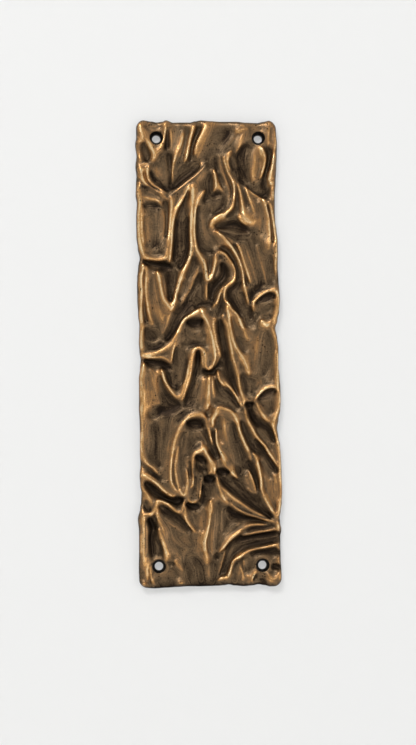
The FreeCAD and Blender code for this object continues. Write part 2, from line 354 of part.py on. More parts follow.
    (LOW, [(17.2, -37), (19, -42), (21.6, -48), (24.5, -53)]),
    (DEEP, [(24, -47), (27, -51), (30, -55.5), (33.3, -60.5), (35.8, -64)]),
    (MID, [(25, -41), (29, -46.5), (33, -52.5)]),
    (DEEP, [(30, -39), (32.5, -43.3), (34.5, -47.8)]),
    (SOFT, [(31.5, -50), (34, -54.5), (36, -58.3)]),
    (CREST, [(36.5, 0.9), (36.8, -4), (36.6, -10.7), (36.5, -16.6), (36.5, -18.9), (37.3, -21.9),
             (37.6, -25.4), (37.3, -28.9), (36.2, -32.2), (34.5, -35.1), (33.6, -38.4), (34.5, -42),
             (35.9, -46.4), (37, -50.8), (37.4, -55.2), (37.3, -59.9), (37.3, -64.9), (37.6, -70.8),
             (37.6, -76.7), (37.1, -81.1), (36.6, -84), (35.9, -87.4)]),
    # the two ovals on the right edge and the panel between them
    (CREST, [(23.9, 22.5), (23.9, 26.8), (25.4, 28.5), (27.4, 30.3), (29.8, 32.1), (31.8, 33.2),
             (34.2, 33.8), (35.9, 33.5), (37, 31.5), (37.5, 28.5), (37.3, 25), (36.7, 21.5), (35.5, 18.5),
             (34.3, 16.2)]),
    (CREST, [(28, 17.5), (29.5, 15)]),
    (RIDGE, [(29.5, 15), (31.5, 15.2), (34.3, 15.8)]),
    (MID, [(27, 25.2), (31, 22.5), (34.3, 25.5)]),
    (MID, [(29, 20), (33, 19.5)]),
    (DEEP, [(25.6, 26.9), (29, 30), (32.3, 31.3), (35.4, 30.6)]),
    (MID, [(24.4, 20.5), (26, 18.2)]),
    (DEEP, [(21.8, 24.5), (22.5, 21.5), (22.4, 18.5)]),
    (RIDGE, [(33.5, 14), (34.5, 11), (35.8, 7.5), (36.4, 3.5), (36.5, 0.9)]),
    (MID, [(31, 11), (32, 4), (31, -4), (29, -12)]),
    (SOFT, [(27, 12), (25.5, 5), (24.5, -3), (23.5, -9)]),
    (SOFT, [(33.8, -9), (33.5, -15)]),
    (CREST, [(23.7, -26.2), (25.5, -23.7), (28.5, -20.5), (31, -19), (34, -18.4), (36.3, -19)]),
    (CREST, [(24.7, -26.5), (26, -29.5), (27.7, -32.5), (29.5, -35), (31, -37)]),
    (SOFT, [(23.7, -27.8), (24.8, -31), (26.8, -34.5)]),
    (RIDGE, [(31, -36.6), (33, -36.3)]),
    (MID, [(27.5, -26.3), (31, -28), (33, -31.5)]),
    (DEEP, [(26.3, -24.9), (28.9, -22.2), (32, -20.5), (35.2, -20.8)]),
    (PIT, [(19.6, -27.4), (21.5, -27.9), (22.9, -27.4)]),
    (DEEP, [(21.5, -30.5), (24.3, -36), (28.5, -39.5), (31, -41)]),
    (LOW, [(17.6, -12), (19.3, -17), (20, -22)]),
    (MID, [(22.5, -14), (22.5, -19), (23.5, -22.5)]),
    (SOFT, [(19.7, -25.4), (22.4, -25.6)]),
    (SOFT, [(16.2, -4.5), (17.2, -9)]),
    (MID, [(27, -16.5), (24, -21)]),
    # the blade and the fan in the lower right
    (RIDGE, [(3.5, -66.5), (4, -69.5), (5, -73), (6.5, -76.5), (8, -79), (9.7, -80.6)]),
    (RIDGE, [(5.5, -71.8), (9, -75), (12.5, -78), (16, -80.3), (19, -82.5), (23, -85), (27, -87),
             (30, -88.5)]),
    (SOFT, [(9, -78), (13, -81), (17, -83.4), (22, -86)]),
    (RIDGE, [(10, -79.7), (12.5, -82), (16, -84.5), (20, -86.5), (25, -88), (30, -89.5), (34, -90.5)]),
    (PIT, [(9.5, -83), (12, -86), (16, -87.6), (20, -88.7), (25, -89.8), (30, -91)]),
    (DEEP, [(11.5, -67.3), (15.5, -71.2), (20, -75.8), (25.5, -80.5)]),
    (DEEP, [(6, -67.3), (10, -71.3), (15, -75.5), (21, -80.3), (27, -84.5), (32, -88)]),
    (CREST, [(0.2, -79), (0, -84), (-0.3, -89), (-1, -93), (-2, -97), (-3, -101), (-3, -105), (-2.5, -109),
             (-2, -112.5)]),
    (SOFT, [(-2, -112.5), (-1.6, -117), (-1, -119.5)]),
    (SOFT, [(2, -88), (1, -93), (0.6, -98), (0.5, -103), (0.7, -108)]),
    (MID, [(0.9, -86), (-0.2, -94), (-1, -100), (-0.8, -106)]),
    (SOFT, [(-5.5, -96), (-5, -103), (-4.5, -108)]),
    (MID, [(4.5, -80), (5, -88), (4, -97), (3, -105)]),
    (LOW, [(7.5, -84), (8, -90), (7, -96)]),
    (DEEP, [(3.2, -107.5), (3.3, -110)]),
    (LOW, [(-8.5, -110), (-6, -115), (-5, -121)]),
    (LOW, [(2, -112), (2.6, -117), (1.5, -121.5)]),
    (CREST, [(4.5, -106), (7, -103.5), (9, -101), (11.5, -98.5), (14, -96.5), (17, -94)]),
    (RIDGE, [(17, -94), (21, -92.3), (25, -91.9), (30, -92)]),
    (SOFT, [(8, -98), (12, -94), (16, -91)]),
    (RIDGE, [(17, -97.5), (20, -97), (25, -96), (30, -95.3), (34.5, -94.5)]),
    (CREST, [(35.5, -91), (36, -93.5), (35.5, -95.5)]),
    (LOW, [(19.5, -95.2), (23, -94.1), (28, -93.6), (33, -92.8)]),
    (PIT, [(12, -101), (16, -99.7), (20, -99), (26, -98), (31, -97.3), (36, -97)]),
    (DEEP, [(12, -101), (9.5, -104.5), (8, -109), (6.5, -114.5), (4.5, -119)]),
    (DEEP, [(35.5, -99.5), (27, -100.8), (20, -102.3), (15, -104.3), (11.5, -108), (9.2, -113.5),
            (7.4, -117.8)]),
    (CREST, [(36, -102.5), (32, -103.3), (28, -104.2), (23.5, -105), (20, -106), (17.5, -107.5),
             (15.5, -109), (13, -110), (11.5, -111.5), (10.5, -115), (9.5, -118), (8.3, -120)]),
    (CREST, [(3.5, -121.3), (5.5, -120), (8.3, -120)]),
    (SOFT, [(8, -105.3), (6.2, -110.5), (5.2, -114), (3.6, -119)]),
    (LOW, [(17.2, -109.4), (16.4, -112), (16.9, -116), (17.8, -119)]),
    (RIDGE, [(15.6, -113), (16.1, -115.5), (17.3, -119), (16.5, -121)]),
    (MID, [(13.5, -112.5), (12.8, -117), (12.5, -121)]),
    (SOFT, [(14.8, -117), (15, -121)]),
    (RIDGE, [(17.3, -111), (17.5, -114)]),
    (MID, [(19.5, -109.5), (20, -113), (20.3, -117)]),
    (RIDGE, [(18.5, -118.7), (20.7, -119.8)]),
    (CREST, [(24, -116.8), (22.6, -119), (21.5, -121.7)]),
    (DEEP, [(24, -118.6), (22.8, -120.9)]),
    (DEEP, [(21.5, -107.6), (25, -106.8), (30, -106.2), (34, -106.3), (36.3, -107.4)]),
    (CREST, [(35.6, -103.2), (36.5, -105.4)]),
    (MID, [(23.5, -111), (25, -109.3), (31, -109.3)]),
    (RIDGE, [(36, -109.5), (36.3, -113)]),
    (MID, [(33, -110.5), (34.3, -112.5)]),
    (PIT, [(31.8, -114.4), (34, -114.3), (36.2, -115)]),
    (MID, [(31.5, -117), (33, -117.5), (34.6, -116.6)]),
    (RIDGE, [(30.4, -118), (31.3, -120), (33, -121), (35, -120), (36, -117.5)]),
    (CREST, [(36.8, -117), (36.5, -121.5)]),
    (RIDGE, [(35, -122.4), (32, -121.9), (29.5, -120.7)]),
    (LOW, [(26, -121), (29, -122.3)]),
    (MID, [(24.8, -120), (27, -119)]),
    # the wave and the slot in the lower left
    (CREST, [(-35.3, -65), (-33, -66.5), (-30.5, -68), (-28, -70), (-25.5, -72.5), (-22.5, -75),
             (-20.5, -76.3), (-18.7, -76.3)]),
    (RIDGE, [(-34, -64.2), (-31, -66.2), (-27.5, -68.9)]),
    (RIDGE, [(-36.3, -66.5), (-36.9, -69), (-36.2, -72), (-34.5, -74.5), (-33, -77), (-31.3, -79.5),
             (-31, -81.5)]),
    (PIT, [(-34.2, -69.5), (-31, -72.5), (-27, -76), (-22, -78.6), (-17.2, -79.2), (-15.2, -78)]),
    (LOW, [(-34.3, -79), (-34, -82.5), (-32, -84)]),
    (CREST, [(-35.7, -86), (-33, -85.7), (-31.5, -86), (-30, -83.5), (-29, -81), (-28.2, -79),
             (-27.3, -78.7), (-25, -79.3), (-22, -81), (-20, -83), (-18, -84.5), (-16.3, -85), (-15, -84),
             (-14.3, -81.5), (-13.8, -79)]),
    (RIDGE, [(-36.8, -82), (-36.2, -84.5), (-35.7, -86)]),
    (CREST, [(-35.6, -86), (-35.5, -89), (-35.5, -94), (-35.5, -100), (-35.6, -106), (-35.4, -111),
             (-35.1, -113.4)]),
    (RIDGE, [(-34.2, -90), (-34, -95), (-33.9, -101), (-34.3, -107), (-34.5, -112)]),
    (SOFT, [(-37.4, -92), (-37.2, -100), (-37.2, -108), (-37.2, -116)]),
    (PIT, [(-32.3, -88.3), (-31, -90.5), (-30.2, -94)]),
    (DEEP, [(-30.2, -94), (-31.2, -99), (-30.3, -104), (-30.8, -108)]),
    (LOW, [(-28.3, -100), (-27.2, -105), (-27.5, -109)]),
    (CREST, [(-27.6, -93.5), (-26.2, -98), (-25, -102), (-24, -106), (-23.2, -110.3)]),
    (RIDGE, [(-28.2, -83), (-28.3, -86), (-27.8, -88.5), (-26.5, -91), (-25.3, -94), (-24.3, -97)]),
    (LOW, [(-29.6, -86.5), (-29, -90)]),
    (DEEP, [(-26.7, -82), (-22.2, -85), (-17, -88.6), (-13.8, -91.5), (-10.5, -95)]),
    (SOFT, [(-24, -88.5), (-20, -92), (-14, -96)]),
    (SOFT, [(-21.5, -97), (-18, -101), (-13, -105)]),
    (MID, [(-18, -94.5), (-14.5, -100), (-9.5, -103)]),
    (CREST, [(-13.2, -82), (-13.8, -85.5), (-13.2, -88.5), (-12, -91), (-10.3, -93.2), (-8.3, -95.3)]),
    (MID, [(-9, -84.5), (-7.5, -90), (-6.5, -94.5)]),
    (MID, [(-3, -84), (-3.5, -90), (-4, -95)]),
    # bottom left corner
    (CREST, [(-33.8, -113.8), (-33.6, -117), (-33.5, -120.5)]),
    (RIDGE, [(-32.1, -113.5), (-32, -117.5), (-31.2, -121), (-30, -123)]),
    (LOW, [(-32.9, -115), (-32.7, -119.5), (-32.2, -122.5)]),
    (CREST, [(-36, -123.2), (-34.8, -122.5)]),
    (MID, [(-36.3, -116), (-36.2, -120)]),
    (MID, [(-29.5, -120.5), (-25, -121.5), (-21, -120)]),
    (SOFT, [(-22.5, -110), (-19.5, -109.4)]),
    (LOW, [(-22, -112.5), (-20, -112.3)]),
    (RIDGE, [(-19, -110.5), (-17, -113.5), (-15, -116)]),
    (MID, [(-21, -115.5), (-18.5, -118)]),
    (RIDGE, [(-17.5, -122.3), (-14.5, -122.4)]),
    (MID, [(-13, -111), (-10.5, -116), (-11, -121)]),
]

# Waves of the outline: place along the edge, then how far the edge stands out past a straight one.
LEFT = [(-126, -0.5), (-122, 0), (-115, 0.2), (-105, 0), (-95, 0), (-89, 0.6), (-83, -0.7), (-80, -1.2),
        (-75, -1.4), (-71, -0.8), (-66, -0.5), (-60, -1), (-55, -0.7), (-45, -0.8), (-38, -0.7),
        (-30, -0.3), (-24, -0.4), (-14, -0.4), (-9, -1), (-4, -1.4), (0, -0.8), (5, -0.5), (14.5, -0.8),
        (20, -0.2), (28, 0.2), (36, 0.3), (40, 0.2), (45, -0.3), (50.5, -1.2), (56, -0.2), (62, 0.5),
        (72, 0.6), (80, 0.2), (85, 0.8), (90, 0.6), (95, 0.3), (100, 0.8), (106, 0.2), (112, 0.9),
        (116, 0.3), (120, 0.4), (126, 0)]
RIGHT = [(-126, -0.7), (-120, -0.3), (-110, -0.7), (-104, -0.8), (-99, -0.8), (-95, -0.2), (-91, -0.8),
         (-88.5, -1), (-85, -0.4), (-81, 0.2), (-75, 0.5), (-64, 0.3), (-56, 0), (-50, -0.4), (-46, -1.2),
         (-41, -1.8), (-36, -1), (-31, 0), (-26, 0.3), (-20, 0.2), (-14, -0.2), (-8, -0.7), (2, -0.6),
         (7, -1.2), (12.5, -2.2), (17, -1), (22, 0), (28, 0.4), (33, 0.2), (38, -0.2), (46, -0.5),
         (54, -0.3), (60, -0.4), (66, -1), (70, -1.6), (76, -1.8), (84, -1.7), (92, -1.2), (100, -0.7),
         (106, -0.4), (113, -0.2), (118, -0.6), (126, -1)]
TOP = [(-40, 0.2), (-35, 0.6), (-30, -0.1), (-27, -0.6), (-24, -0.2), (-22, 0.6), (-18, -0.7), (-14, -0.6),
       (-9, -0.6), (-6, 0.1), (-3, 0.6), (2, 0.2), (8, -0.1), (16, -0.1), (22, -0.6), (28, -0.8),
       (31, -0.2), (34.5, 0.5), (40, -0.2)]
BOTTOM = [(-40, -0.4), (-35, -0.1), (-30, 0.2), (-24, -0.1), (-18, -0.4), (-12, -0.7), (-6, -0.6),
          (0, -0.7), (4, -0.8), (7, -1), (9.8, -1.4), (13, -0.8), (18, -0.4), (22, -0.7), (26, -1.3),
          (29, -0.8), (32, -0.1), (36, -0.1), (40, -0.5)]


def curve(points, step):
    """Smooth curve through the points: (x, z, length) for each short piece of it."""
    first = (2 * points[0][0] - points[1][0], 2 * points[0][1] - points[1][1])
    last = (2 * points[-1][0] - points[-2][0], 2 * points[-1][1] - points[-2][1])
    run = [first] + list(points) + [last]
    pieces = []
    for a, b, c, d in zip(run, run[1:], run[2:], run[3:]):
        span = math.hypot(c[0] - b[0], c[1] - b[1])
        count = max(2, math.ceil(span / step))
        for i in range(count):
            t = (i + 0.5) / count
            x, z = [
                q + t * ((r - p) / 2 + t * (p - 2.5 * q + 2 * r - s / 2 + t * (1.5 * (q - r) + (s - p) / 2)))
                for p, q, r, s in zip(a, b, c, d)
            ]
            pieces.append((x, z, span / count))
    return pieces


def ease(share):
    """Share eased from 0 to 1, with no slope at its ends."""
    t = min(max(share, 0.0), 1.0)
    return t * t * (3 - 2 * t)


def along(points, at):
    """Value of a wave at one place, eased between the points on either side of it."""
    for (a, low), (b, high) in zip(points, points[1:]):
        if at <= b:
            return low + (high - low) * ease((at - a) / (b - a))
    return points[-1][1]


class Relief:
    """Height of the front over the back, from the crest and valley lines."""

    def __init__(self, size, outline):
        self.size = size
        self.outline = outline
        self.bands = {}
        for level, points in FOLDS:
            pull = VALLEY_PULL if level < SOFT else 1.0
            pieces = curve(points, LINE_STEP)
            total = sum(length for _, _, length in pieces)
            run = 0.0
            for x, z, length in pieces:
                from_end = min(run + length / 2, total - run - length / 2)
                fade = LINE_BLUNT + (1 - LINE_BLUNT) * ease(from_end / LINE_TAPER)
                self.add((x, z, length * pull * fade, level))
                run += length

    def add(self, piece):
        """Keeps a piece of a line for the bands of the plate that it can reach."""
        middle = math.floor(piece[1] / LINE_REACH)
        for band in (middle - 1, middle, middle + 1):
            self.bands.setdefault(band, []).append(piece)

    def level(self, x, z):
        """Share of the relief at a point of the plate, each line near it pulling by its distance."""
        total = 0.0
        weight = 0.0
        reach = LINE_REACH**2
        for px, pz, pull, level in self.bands.get(math.floor(z / LINE_REACH), ()):
            gap = (x - px) ** 2 + (z - pz) ** 2
            if gap < reach:
                w = pull * (1 - gap / reach) ** 2 / (gap + LINE_RADIUS**2) ** LINE_POWER
                total += w * level
                weight += w
        return total / weight if weight else MID

    def seat(self, x, z):
        """Share of the seat around the nearest screw hole: 1 at its mouth, 0 where it has run out."""
        across = abs(x) - self.size["plate_width"] / 2 + self.size["hole_side_inset"]
        up = abs(z - self.size["hole_rise"]) - self.size["plate_length"] / 2 + self.size["hole_end_inset"]
        far = math.hypot(across, up) - self.size["sink_diameter"] / 2
        return 1 - ease(far / self.size["seat_width"])

    def height(self, x, z, inset):
        """Height in millimetres, brought down to the side wall within the rounded edge."""
        low = self.size["valley_height"]
        level = self.level(x / self.outline.wide, z / self.outline.long)
        full = low + (self.size["crest_height"] - low) * level
        full += max(self.size["seat_height"] - full, 0.0) * self.seat(x, z)
        wall = min(self.size["edge_height"], 0.75 * full)
        t = min(max(inset / self.size["edge_round"], 0.0), 1.0)
        return wall + (full - wall) * math.sqrt(1 - (1 - t) ** 2)


class Outline:
    """Wavy outline of the plate with its rounded corners."""

    def __init__(self, size):
        self.size = size
        self.wide = size["plate_width"] / READ_WIDTH
        self.long = size["plate_length"] / READ_LENGTH

    def edges(self, x, z):
        """Places of the left, right, bottom and top edge beside a point of the plate."""
        half_width = self.size["plate_width"] / 2
        half_length = self.size["plate_length"] / 2
        left, right = [half_width + along(wave, z / self.long) for wave in (LEFT, RIGHT)]
        bottom, top = [half_length + along(wave, x / self.wide) for wave in (BOTTOM, TOP)]
        return -left, right, -bottom, top

    def inset(self, x, z):
        """Distance from a point in to the outline, less than nothing outside of it."""
        left, right, bottom, top = self.edges(x, z)
        across = min(x - left, right - x)
        along_plate = min(z - bottom, top - z)
        corner = self.size["corner_round"]
        if across < corner and along_plate < corner:
            return corner - math.hypot(corner - across, corner - along_plate)
        return min(across, along_plate)

    def loop(self, inset):
        """Points around the plate at one distance in from the outline, counter-clockwise from the front."""
        half_x = self.size["plate_width"] / 2
        half_z = self.size["plate_length"] / 2
        corner = self.size["corner_round"]
        turns = [math.radians(angle) for angle in (15, 45, 75)]
        start = []
        for sx, sz in ((1, -1), (1, 1), (-1, 1), (-1, -1)):
            arc = [
                (sx * (half_x - corner * (1 - math.cos(a))), sz * (half_z - corner * (1 - math.sin(a))))
                for a in turns
            ]
            start.append(arc if sx * sz > 0 else arc[::-1])
        path = []
        for arc, following in zip(start, start[1:] + start[:1]):
            path += arc
            gap = math.dist(arc[-1], following[0])
            count = round(gap / EDGE_STEP)
            path += [
                tuple(p + (q - p) * i / count for p, q in zip(arc[-1], following[0]))
                for i in range(1, count)
            ]
        return [self.settle(x, z, inset) for x, z in path]

    def settle(self, x, z, inset):
        """Point moved along its line to the middle of the plate until it is this far in."""
        reach = self.size["plate_length"] / 2 - self.size["plate_width"] / 2
        centre = (0.0, min(max(z, -reach), reach))
        near, far = 0.0, 1.2
        for _ in range(40):
            t = (near + far) / 2
            place = [c + (p - c) * t for p, c in zip((x, z), centre)]
            if self.inset(*place) > inset:
                near = t
            else:
                far = t
        return tuple(place)


def fold_points(outline):
    """Points along the folds, the strongest folds first, none too close to another or to the outline."""
    kept = {}
    order = (CREST, PIT, RIDGE, DEEP, SOFT, LOW, MID)
    for level, points in sorted(FOLDS, key=lambda fold: order.index(fold[0])):
        for x, z, _ in curve(points, FOLD_STEP):
            x, z = x * outline.wide, z * outline.long
            cell = (math.floor(x / FOLD_GAP), math.floor(z / FOLD_GAP))
            around = [kept.get((cell[0] + i, cell[1] + j), ()) for i in (-1, 0, 1) for j in (-1, 0, 1)]
            crowded = any(math.dist((x, z), other) < FOLD_GAP for others in around for other in others)
            if not crowded and outline.inset(x, z) > EDGE_RINGS[-1] + 0.5 * FOLD_GAP:
                kept.setdefault(cell, []).append((x, z))
    return [point for points in kept.values() for point in points]


def circle(a, b, c):
    """Centre and squared radius of the circle through three points."""
    bx, bz, cx, cz = b[0] - a[0], b[1] - a[1], c[0] - a[0], c[1] - a[1]
    d = 2 * (bx * cz - bz * cx)
    b2, c2 = bx * bx + bz * bz, cx * cx + cz * cz
    x, z = (cz * b2 - bz * c2) / d, (bx * c2 - cx * b2) / d
    return a[0] + x, a[1] + z, x * x + z * z


def triangulate(points):
    """Delaunay triangles of the points as index triples, each counter-clockwise from the front."""
    far = 40 * max(max(abs(x), abs(z)) for x, z in points)
    all_points = list(points) + [(-far, -far), (far, -far), (0.0, far)]
    first = (len(points), len(points) + 1, len(points) + 2)
    open_circles = {first: circle(*[all_points[i] for i in first])}
    done = []
    for new in sorted(range(len(points)), key=lambda i: points[i][1]):
        x, z = points[new]
        rim = {}
        for triangle, (cx, cz, r2) in list(open_circles.items()):
            if cz + math.sqrt(r2) < z:
                done.append(triangle)
                del open_circles[triangle]
            elif (x - cx) ** 2 + (z - cz) ** 2 < r2:
                del open_circles[triangle]
                for edge in zip(triangle, triangle[1:] + triangle[:1]):
                    if edge[::-1] in rim:
                        del rim[edge[::-1]]
                    else:
                        rim[edge] = True
        for a, b in rim:
            triangle = (a, b, new)
            open_circles[triangle] = circle(*[all_points[i] for i in triangle])
    done += open_circles
    return [triangle for triangle in done if max(triangle) < len(points)]


def face(corners):
    """Flat face with these corners."""
    return Part.Face(Part.makePolygon(corners + corners[:1]))


def casting_shape(size):
    """Solid of the casting before its holes: facets between the fold lines, side walls and a flat back."""
    outline = Outline(size)
    relief = Relief(size, outline)
    rings = [outline.loop(inset) for inset in EDGE_RINGS]
    border = rings[0]
    points = [point for ring in rings for point in ring] + fold_points(outline)
    front = []
    for index, (x, z) in enumerate(points):
        inset = 0.0 if index < len(border) else outline.inset(x, z)
        front.append(FreeCAD.Vector(x, -relief.height(x, z, inset), z))
    faces = []
    for triangle in triangulate(points):
        middle = [sum(points[i][axis] for i in triangle) / 3 for axis in (0, 1)]
        if max(triangle) >= len(border) or outline.inset(*middle) > 0:
            faces.append(face([front[i] for i in triangle]))
    feet = [FreeCAD.Vector(x, 0.0, z) for x, z in border]
    for i in range(len(border)):
        following = (i + 1) % len(border)
        faces.append(face([front[i], feet[i], feet[following], front[following]]))
    faces.append(face(feet[::-1]))
    shell = Part.Shell(faces)
    shell.sewShape()
    solid = Part.Solid(Part.Shell(shell.Faces))
    if solid.Volume < 0:
        solid.reverse()
    return solid


def make_sheet(document):
    """Spreadsheet of the driving dimensions, one aliased cell each."""
    sheet = document.addObject("Spreadsheet::Sheet", "Dimensions")
    for row, (name, value, meaning) in enumerate(DIMENSIONS, start=1):
        sheet.set(f"A{row}", name)
        sheet.set(f"B{row}", str(value))
        sheet.set(f"C{row}", meaning)
        sheet.setAlias(f"B{row}", name)
    document.recompute()
    return sheet


def make_hole(document, name, across, up):
    """Screw hole with its countersink: a bore, a cone and the clear way in front of the cone.

    The signs across and up say which corner of the hole pattern it sits on.
    """
    x = f"{across} * (Dimensions.plate_width / 2 - Dimensions.hole_side_inset)"
    z = f"{up} * (Dimensions.plate_length / 2 - Dimensions.hole_end_inset) + Dimensions.hole_rise"
    turn = FreeCAD.Rotation(FreeCAD.Vector(1, 0, 0), 90)
    bore = document.addObject("Part::Cylinder", name + "_bore")
    bore.setExpression("Radius", "Dimensions.hole_diameter / 2")
    bore.setExpression("Height", "Dimensions.crest_height * 2")
    bore_start = "Dimensions.crest_height / 2"
    cone = document.addObject("Part::Cone", name + "_cone")
    cone.setExpression("Radius1", "Dimensions.hole_diameter / 2")
    cone.setExpression("Radius2", "Dimensions.sink_diameter / 2")
    cone.setExpression("Height", "(Dimensions.sink_diameter - Dimensions.hole_diameter) / 2")
    cone_start = "(Dimensions.sink_diameter - Dimensions.hole_diameter) / 2 - Dimensions.sink_depth"
    mouth = document.addObject("Part::Cylinder", name + "_mouth")
    mouth.setExpression("Radius", "Dimensions.sink_diameter / 2")
    mouth.setExpression("Height", "Dimensions.crest_height")
    mouth_start = "-Dimensions.sink_depth"
    for tool, start in ((bore, bore_start), (cone, cone_start), (mouth, mouth_start)):
        tool.Placement = FreeCAD.Placement(FreeCAD.Vector(0, 0, 0), turn)
        tool.setExpression("Placement.Base.x", x)
        tool.setExpression("Placement.Base.y", start)
        tool.setExpression("Placement.Base.z", z)
    hole = document.addObject("Part::MultiFuse", name)
    hole.Shapes = [bore, cone, mouth]
    return hole


def check(document):
    """Stops when an object failed to rebuild or has a bad shape."""
    for item in document.Objects:
        if "Invalid" in item.State:
            raise RuntimeError(f"{item.Name} did not rebuild: {item.State}")
        shape = getattr(item, "Shape", None)
        if shape is not None and (shape.isNull() or not shape.isValid()):
            raise RuntimeError(f"{item.Name} has a bad shape")


def main():
    """Builds the plate and writes its STEP file."""
    document = FreeCAD.newDocument(DOCUMENT)
    sheet = make_sheet(document)
    size = {name: float(sheet.get(name)) for name, _, _ in DIMENSIONS}
    casting = document.addObject("Part::Feature", "casting")
    casting.Shape = casting_shape(size)
    corners = (("top_left", -1, 1), ("top_right", 1, 1), ("bottom_left", -1, -1), ("bottom_right", 1, -1))
    holes = document.addObject("Part::MultiFuse", "screw_holes")
    holes.Shapes = [make_hole(document, "hole_" + name, across, up) for name, across, up in corners]
    plate = document.addObject("Part::Cut", NODE)
    plate.Base = casting
    plate.Tool = holes
    plate.Label = NODE
    # Neighbouring facets stay apart, also where two of them lie nearly in one plane.
    plate.Refine = False
    document.recompute()
    check(document)
    os.makedirs("parts", exist_ok=True)
    plate.Shape.exportStep(f"parts/{plate.Label}.step")
    box = plate.Shape.BoundBox
    lengths = " x ".join(f"{side:.2f}" for side in (box.XLength, box.YLength, box.ZLength))
    print(f"{plate.Label}: {lengths} mm, {plate.Shape.Volume:.0f} mm3")


main()
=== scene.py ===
"""Dresses the door finger plate: the fine folds of the casting, its rubbed patination with painted highlights
and painted shade, and a pale studio.

The plate's tables and sizes are in millimetres, the studio's sizes and the meshes in metres. X runs to the
right across the front, Z up along the length, the front faces -Y and the flat back lies in the plane y = 0.
"""
from __future__ import annotations

import json
import logging
import math
from dataclasses import dataclass
from enum import Enum
from typing import Any, Optional, Sequence

import bpy
import numpy as np
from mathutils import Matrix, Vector
from mathutils.geometry import tessellate_polygon

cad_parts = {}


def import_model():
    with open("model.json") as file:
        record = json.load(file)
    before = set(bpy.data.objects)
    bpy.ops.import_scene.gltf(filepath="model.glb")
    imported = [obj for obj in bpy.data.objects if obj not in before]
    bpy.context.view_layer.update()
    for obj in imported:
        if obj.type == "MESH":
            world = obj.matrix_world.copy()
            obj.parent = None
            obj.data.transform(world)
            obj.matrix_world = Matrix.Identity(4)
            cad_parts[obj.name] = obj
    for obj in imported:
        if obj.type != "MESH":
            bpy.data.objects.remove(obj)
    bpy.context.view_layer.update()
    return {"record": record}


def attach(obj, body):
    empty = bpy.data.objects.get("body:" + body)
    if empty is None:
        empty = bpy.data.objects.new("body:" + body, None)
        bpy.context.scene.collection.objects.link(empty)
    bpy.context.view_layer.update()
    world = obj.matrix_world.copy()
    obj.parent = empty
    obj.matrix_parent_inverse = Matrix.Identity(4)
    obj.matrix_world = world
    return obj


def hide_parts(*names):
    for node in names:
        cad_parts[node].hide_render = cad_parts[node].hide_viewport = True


log = logging.getLogger("finger_plate")

MM = 0.001
NODE = "finger_plate"
# Distance within which a point counts as lying on the back.
FLAT = 1e-6

Array = np.ndarray
Line = Sequence[tuple[float, float]]


class Level(Enum):
    """Heights of the folds above the back of the plate, in millimetres."""

    PIT = 2.3
    DEEP = 2.9
    LOW = 3.5
    MID = 4.1
    SOFT = 4.7
    RIDGE = 5.62
    CREST = 6.3


PIT, DEEP, LOW, MID, SOFT, RIDGE, CREST = Level

# How far each kind of fold is rubbed bright, with a painted highlight along its crest, and how dark a crease
# it keeps, patination with painted shade, from 0 to 1.
CREST_RUB_AND_HIGHLIGHT = {SOFT: 0.30, RIDGE: 0.80, CREST: 1.0}
CREASED = {PIT: 1.0, DEEP: 0.25}

